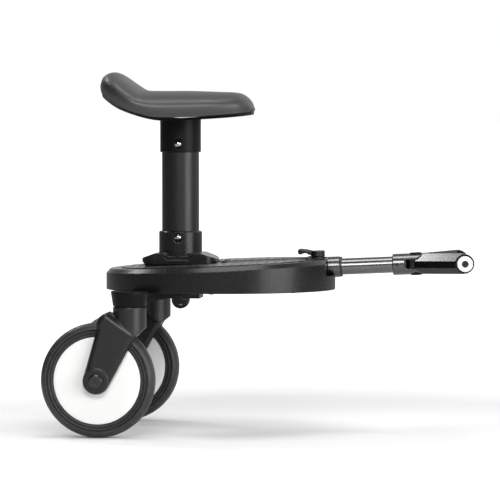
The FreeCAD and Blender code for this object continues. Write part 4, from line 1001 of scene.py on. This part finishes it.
@dataclass
class Saddle:
    """The saddle: a moulded foam pad on its shell, and the socket over the post.

    A station is a place along the length, counted from the middle, with the half width, the rim's height and
    the top's height there, as shares of the pad's length, half width and height. An end cap is a share of the
    last section, and how far it lies outside that section.
    """

    finishes: Finishes
    station_shares: tuple[tuple[float, float, float, float], ...] = (
        (-0.4993, 0.34, 0.596, 0.818), (-0.482, 0.54, 0.539, 0.924), (-0.4475, 0.72, 0.445, 0.987),
        (-0.408, 0.83, 0.358, 0.995), (-0.359, 0.92, 0.266, 0.921), (-0.28, 0.99, 0.161, 0.736),
        (-0.211, 1.0, 0.087, 0.606), (-0.108, 0.98, 0.012, 0.589), (0.089, 0.88, 0.011, 0.588),
        (0.277, 0.77, 0.051, 0.568), (0.4, 0.64, 0.087, 0.547), (0.454, 0.52, 0.108, 0.473),
        (0.488, 0.37, 0.125, 0.352), (0.4997, 0.24, 0.153, 0.243),
    )
    length: float = 203 * MM
    half_width: float = 80 * MM
    rise: float = 60.9 * MM
    rim_height: float = 421.2 * MM
    middle_back: float = 3.2 * MM
    widest_share: float = 0.36
    foot_share: float = 0.95
    squareness: float = 2.25
    lip: float = 1.3 * MM
    end_caps: tuple[tuple[float, float], ...] = (
        (0.9, 0.7 * MM), (0.7, 1.3 * MM), (0.4, 1.7 * MM), (0.12, 1.85 * MM),
    )
    rings_between: int = 6
    side_steps: int = 6
    crown_steps: int = 16

    def build(self) -> None:
        """Build the pad and dress the rest."""
        self.finishes.coat_nodes(SOCKET_PLASTIC, "saddle_shell", "saddle_socket")
        self.finishes.coat_nodes(STEEL, "saddle_screws")
        self.pad()

    def station(self, t: float) -> tuple[float, float, float, float]:
        """Return the station at a place between two of the table's, on a smooth curve.

        Args:
            t: Number of the station, with a fraction.

        Returns:
            Place, half width, rim and top in metres.
        """
        table = self.station_shares
        k = min(int(t), len(table) - 2)
        u = t - k
        rows = [table[max(0, min(len(table) - 1, k + step))] for step in (-1, 0, 1, 2)]
        shares = []
        for a, b, c, e in zip(*rows):
            shares.append(b + 0.5 * u * (c - a + u * (2 * a - 5 * b + 4 * c - e + u * (3 * (b - c) + e - a))))
        along, wide, low, high = shares
        return along * self.length, wide * self.half_width, low * self.rise, high * self.rise

    def section(self, wide: float, low: float, high: float) -> list[tuple[float, float]]:
        """Return the right half of a cross section, from its bottom's middle to its crown.

        Args:
            wide: Half width.
            low: Height of the rim.
            high: Height of the crown.

        Returns:
            (half width, height) points.
        """
        tall = high - low
        lip = min(self.lip, tall * 0.12)
        widest = low + tall * self.widest_share
        foot = wide * self.foot_share
        points = [(0, low), (foot * 0.5, low), (foot * 0.86, low), (foot - lip, low),
                  (foot - lip * 0.3, low + lip * 0.2), (foot, low + lip * 0.6),
                  (foot + lip * 0.02, low + lip)]
        for step in range(1, self.side_steps):
            angle = math.pi / 2 * step / self.side_steps
            points.append((foot + (wide - foot) * math.sin(angle),
                           low + lip + (widest - low - lip) * step / self.side_steps))
        power = 2 / self.squareness
        for step in range(self.crown_steps + 1):
            angle = math.pi / 2 * step / self.crown_steps
            points.append((wide * math.cos(angle) ** power,
                           widest + (high - widest) * math.sin(angle) ** power))
        return points

    def pad(self) -> None:
        """Build the pad as rings of its section from back to front, closed at both ends."""
        stations = len(self.station_shares) - 1
        count = stations * self.rings_between
        rings = []
        for ring in range(count + 1):
            x, wide, low, high = self.station(ring / self.rings_between)
            rings.append((x, self.section(wide, low, high)))
        for end in (0, -1):
            x, outline = rings[end]
            way = -1 if end == 0 else 1
            centre = (outline[0][1] + outline[-1][1]) / 2
            for share, push in self.end_caps:
                shrunk = [(y * share, centre + (z - centre) * share) for y, z in outline]
                rings.insert(0 if end == 0 else len(rings), (x + way * push, shrunk))
        points = []
        for x, outline in rings:
            loop = outline + [(-y, z) for y, z in reversed(outline[1:-1])]
            points += [(x, y, z) for y, z in loop]
        faces = ring_faces(len(rings), len(points) // len(rings))
        place = Matrix.Translation((middle("seat_tube").x - self.middle_back, 0, self.rim_height))
        piece = mesh_piece("saddle_cushion", points, faces, place, crease=60)
        self.finishes.coat(piece, SADDLE_SKIN)
        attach(piece, "saddle")
        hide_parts("saddle_pad")
        log.info("%s replaces the plain pad", piece.name)


@dataclass
class Arm:
    """The telescopic arm, its cover and the clamp's lever.

    A handle share is a place back from the lever's axis and a height, as shares of the handle's reach and
    rise.
    """

    finishes: Finishes
    handle_shares: tuple[tuple[float, float], ...] = (
        (0.42, 0.22), (0.55, 0.46), (0.76, 0.42), (0.88, 0.28), (1.0, 0.45), (1.0, 0.82), (0.9, 1.0),
        (0.55, 0.9), (0.2, 0.69), (0.2, 0.2),
    )
    reach: float = 26.5 * MM
    rise: float = 11.9 * MM
    handle_half: float = 5.5 * MM
    handle_edge: float = 2.2 * MM
    handle_round: float = 2.4 * MM
    hub_radius: float = 9.8 * MM
    hub_height: float = 8.2 * MM
    hub_edge: float = 1.2 * MM
    hub_dip: float = 0.6 * MM
    groove: float = 0.5 * MM
    hub_lift: float = 14.6 * MM

    def build(self) -> None:
        """Dress the arm and build the lever."""
        self.finishes.coat_nodes(DECK_PLASTIC, "arm_cover")
        self.finishes.coat_nodes(COLLAR_METAL, "front_collar", "arm_head")
        self.finishes.coat_nodes(DARK_STEEL, "cover_screws", "head_pin")
        self.finishes.coat_nodes(STEEL, "clamp_screw")
        self.finishes.coat_nodes(BUSH_PLASTIC, "arm_guide", "clamp_pad")
        self.finishes.coat_nodes(MAT_RUBBER, "collar_seal")
        self.finishes.coat_nodes(ARM_METAL, "arm_tube")
        self.finishes.coat_nodes(CORE_PLASTIC, "arm_stop")
        self.lever()

    def lever(self) -> None:
        """Build the lever: a grooved hub and a handle with an arch under it."""
        joint = joint_of("clamp_lever_turn")
        up = Vector(joint["axis"])
        forward = Vector(joint_of("arm_slide")["axis"])
        place = axes_at(Vector(joint["pos_m"]) + up * self.hub_lift, forward, up)
        tall, radius, cut, edge = self.hub_height, self.hub_radius, self.groove, self.hub_edge
        hub_profile = [(0, 0), (radius - edge, 0), (radius, edge)]
        for level in (0.3, 0.5, 0.7):
            height = tall * level
            hub_profile += [(radius, height - cut), (radius - cut, height - cut * 0.5),
                            (radius - cut, height + cut * 0.5), (radius, height + cut)]
        hub_profile += [(radius, tall - edge), (radius - edge / 3, tall - edge / 3), (radius - edge, tall),
                        (radius * 0.55, tall), (radius * 0.5, tall - self.hub_dip), (0, tall - self.hub_dip)]
        hub = lathe("lever_hub", hub_profile, place, steps=64, closed=False)
        outline = [(-self.reach * back, self.rise * high) for back, high in self.handle_shares]
        rim = rounded(outline, self.handle_round, steps=5)
        handle = slab("lever_handle", rim, self.handle_half, self.handle_edge, place)
        piece = joined("clamp_lever_grip", [hub, handle])
        self.finishes.coat(piece, LEVER_PLASTIC)
        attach(piece, "clamp")
        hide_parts("clamp_lever")
        log.info("%s replaces the plain lever", piece.name)


@dataclass
class Hitch:
    """The yoke and the plugs at its horns' ends."""

    finishes: Finishes
    head_radius: float = 4.2 * MM
    head_height: float = 0.8 * MM
    socket: float = 2.3 * MM
    head_place: float = 10.3 * MM

    def build(self) -> None:
        """Dress the yoke and build the socket heads."""
        self.finishes.coat_nodes(YOKE_PLASTIC, "yoke")
        self.finishes.coat_nodes(SOCKET_PLASTIC, "pivot_caps")
        self.finishes.coat_nodes(STEEL, "pivot_pin")
        for side in Side:
            self.finishes.coat_nodes(WHITE_PLASTIC, f"hitch_plug_{side.word}")
            self.finishes.coat_nodes(DARK_STEEL, f"hitch_bolt_{side.word}")
            self.head(side)

    def head(self, side: Side) -> None:
        """Build the socket head of a plug's bolt.

        Args:
            side: The side.
        """
        joint = joint_of(f"hitch_{side.word}_turn")
        outward = Vector(joint["axis"]) * side.value
        up = Vector(joint_of("yoke_swing")["axis"])
        place = axes_at(Vector(joint["pos_m"]) + outward * self.head_place, up, outward)
        name = f"hitch_head_{side.word}"
        piece = socket_head(name, self.head_radius, self.head_height, self.socket, place)
        self.finishes.coat(piece, DARK_STEEL)
        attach(piece, f"hitch_{side.word}")
        log.info("%s sits in its plug", piece.name)


def direction(azimuth: float, elevation: float) -> Vector:
    """Return a direction from the board: azimuth 0 is in front of it, and 90 is at the hitch's end."""
    turn, lift = math.radians(azimuth), math.radians(elevation)
    return Vector((math.sin(turn) * math.cos(lift), -math.cos(turn) * math.cos(lift), math.sin(lift)))


@dataclass
class Lamp:
    """One soft lamp that points at the board, placed by its azimuth, its elevation and its distance."""

    name: str
    azimuth: float
    elevation: float
    distance: float
    width: float
    height: float
    level: float

    def build(self, aim: Point) -> None:
        """Make the lamp.

        Args:
            aim: The point that it looks at.
        """
        data = bpy.data.lights.new(self.name, "AREA")
        data.shape = "RECTANGLE"
        data.size, data.size_y = self.width, self.height
        data.energy = self.level * math.pi * self.width * self.height
        lamp = bpy.data.objects.new(self.name, data)
        towards = direction(self.azimuth, self.elevation)
        lamp.location = Vector(aim) + towards * self.distance
        lamp.rotation_euler = (-towards).to_track_quat("-Z", "Y").to_euler()
        bpy.context.scene.collection.objects.link(lamp)


@dataclass
class Studio:
    """The pale floor, the soft lamps, the white surround and the camera."""

    target: Point = (-20.05 * MM, 0.0, 243.1 * MM)
    azimuth: float = 6.27
    elevation: float = 2.60
    distance: float = 4.382
    lens: float = 234.4
    sensor: float = 36.0
    floor_half: float = 60.0
    floor_colour: Colour = (0.8, 0.8, 0.8)
    floor_roughness: float = 0.9
    near_glow: float = 0.12
    near_reach: float = 0.5
    far_reach: float = 1.6
    contact_reach: float = 90 * MM
    dim_level: float = 0.05
    bright_level: float = 1.0
    bright_azimuth: float = 142
    bright_share: float = 0.8

    def build(self) -> None:
        """Set up the scene round the board."""
        bpy.context.scene.view_settings.view_transform = "Standard"
        self.camera()
        self.floor()
        self.world()
        for lamp in self.lamps():
            lamp.build(self.target)

    def lamps(self) -> tuple[Lamp, ...]:
        """List the soft lamps.

        Returns:
            One in front, one overhead, a low one towards the hitch and a small one high at the back.
        """
        return (
            Lamp("front", azimuth=2, elevation=27, distance=2.6, width=1.5, height=0.75, level=11.5),
            Lamp("overhead", azimuth=0, elevation=84, distance=2.0, width=1.2, height=0.9, level=5.4),
            Lamp("right", azimuth=54, elevation=9, distance=2.8, width=1.7, height=1.4, level=6.2),
            Lamp("left", azimuth=-126, elevation=43, distance=2.6, width=0.6, height=0.4, level=19),
        )

    def camera(self) -> None:
        """Put the camera at the photograph's angle."""
        back = direction(self.azimuth, self.elevation)
        data = bpy.data.cameras.new("camera")
        data.lens, data.sensor_width = self.lens, self.sensor
        camera = bpy.data.objects.new("camera", data)
        camera.location = Vector(self.target) + back * self.distance
        camera.rotation_euler = (-back).to_track_quat("-Z", "Y").to_euler()
        bpy.context.scene.collection.objects.link(camera)
        bpy.context.scene.camera = camera

    def floor(self) -> None:
        """Make the floor, which keeps the board's shadow, glows to white where it is seen, and has a painted
        contact shadow that darkens its glow near the board.
        """
        half = self.floor_half
        corners = ((-half, -half, 0), (half, -half, 0), (half, half, 0), (-half, half, 0))
        piece = mesh_piece("floor", corners, ((0, 1, 2, 3),))
        shader = Shader("floor")
        shader.set("Base Color", (*self.floor_colour, 1))
        shader.set("Roughness", self.floor_roughness)
        shader.set("Specular IOR Level", 0.0)
        seen = shader.node("LightPath").outputs["Is Camera Ray"]
        length = shader.node("VectorMath", operation="LENGTH")
        shader.feed(length.inputs[0], shader.place())
        level = shader.spread(length.outputs["Value"], self.near_glow, 1.0, self.near_reach, self.far_reach)
        glow = shader.node("Math", operation="MULTIPLY")
        shader.feed(glow.inputs[0], seen)
        shader.feed(glow.inputs[1], level)
        # Painted shadow: the floor's glow darkens where it is occluded, near the wheels and other parts close
        # to it.
        painted_contact_shadow = shader.node("AmbientOcclusion", samples=8)
        painted_contact_shadow.inputs["Distance"].default_value = self.contact_reach
        shader.set("Emission Color", painted_contact_shadow.outputs["Color"])
        shader.set("Emission Strength", glow.outputs["Value"])
        piece.data.materials.append(shader.material)

    def world(self) -> None:
        """Make the surround: white to the camera, dim in front and bright behind the board's hitch."""
        world = bpy.data.worlds.new("surround")
        world.use_nodes = True
        tree = world.node_tree
        place = tree.nodes.new("ShaderNodeTexCoord")
        likeness = tree.nodes.new("ShaderNodeVectorMath")
        likeness.operation = "DOT_PRODUCT"
        tree.links.new(place.outputs["Generated"], likeness.inputs[0])
        likeness.inputs[1].default_value = direction(self.bright_azimuth, 0)
        level = tree.nodes.new("ShaderNodeMapRange")
        tree.links.new(likeness.outputs["Value"], level.inputs["Value"])
        for name, value in (("From Min", 0.0), ("From Max", self.bright_share),
                            ("To Min", self.dim_level), ("To Max", self.bright_level)):
            level.inputs[name].default_value = value
        path = tree.nodes.new("ShaderNodeLightPath")
        shown = tree.nodes.new("ShaderNodeMath")
        shown.operation = "MAXIMUM"
        tree.links.new(path.outputs["Is Camera Ray"], shown.inputs[0])
        tree.links.new(level.outputs["Result"], shown.inputs[1])
        background = tree.nodes["Background"]
        background.inputs["Color"].default_value = (1, 1, 1, 1)
        tree.links.new(shown.outputs["Value"], background.inputs["Strength"])
        bpy.context.scene.world = world


def main() -> None:
    """Build the board's sub-assemblies in order, and the studio round them."""
    logging.basicConfig(level=logging.INFO, format="%(message)s")
    finishes = Finishes()
    for assembly in (Wheels, Casters, Deck, SeatBase, SeatPost, Saddle, Arm, Hitch):
        assembly(finishes).build()
        log.info("%s built", assembly.__name__)
    Studio().build()


if __name__ == "__main__":
    main()
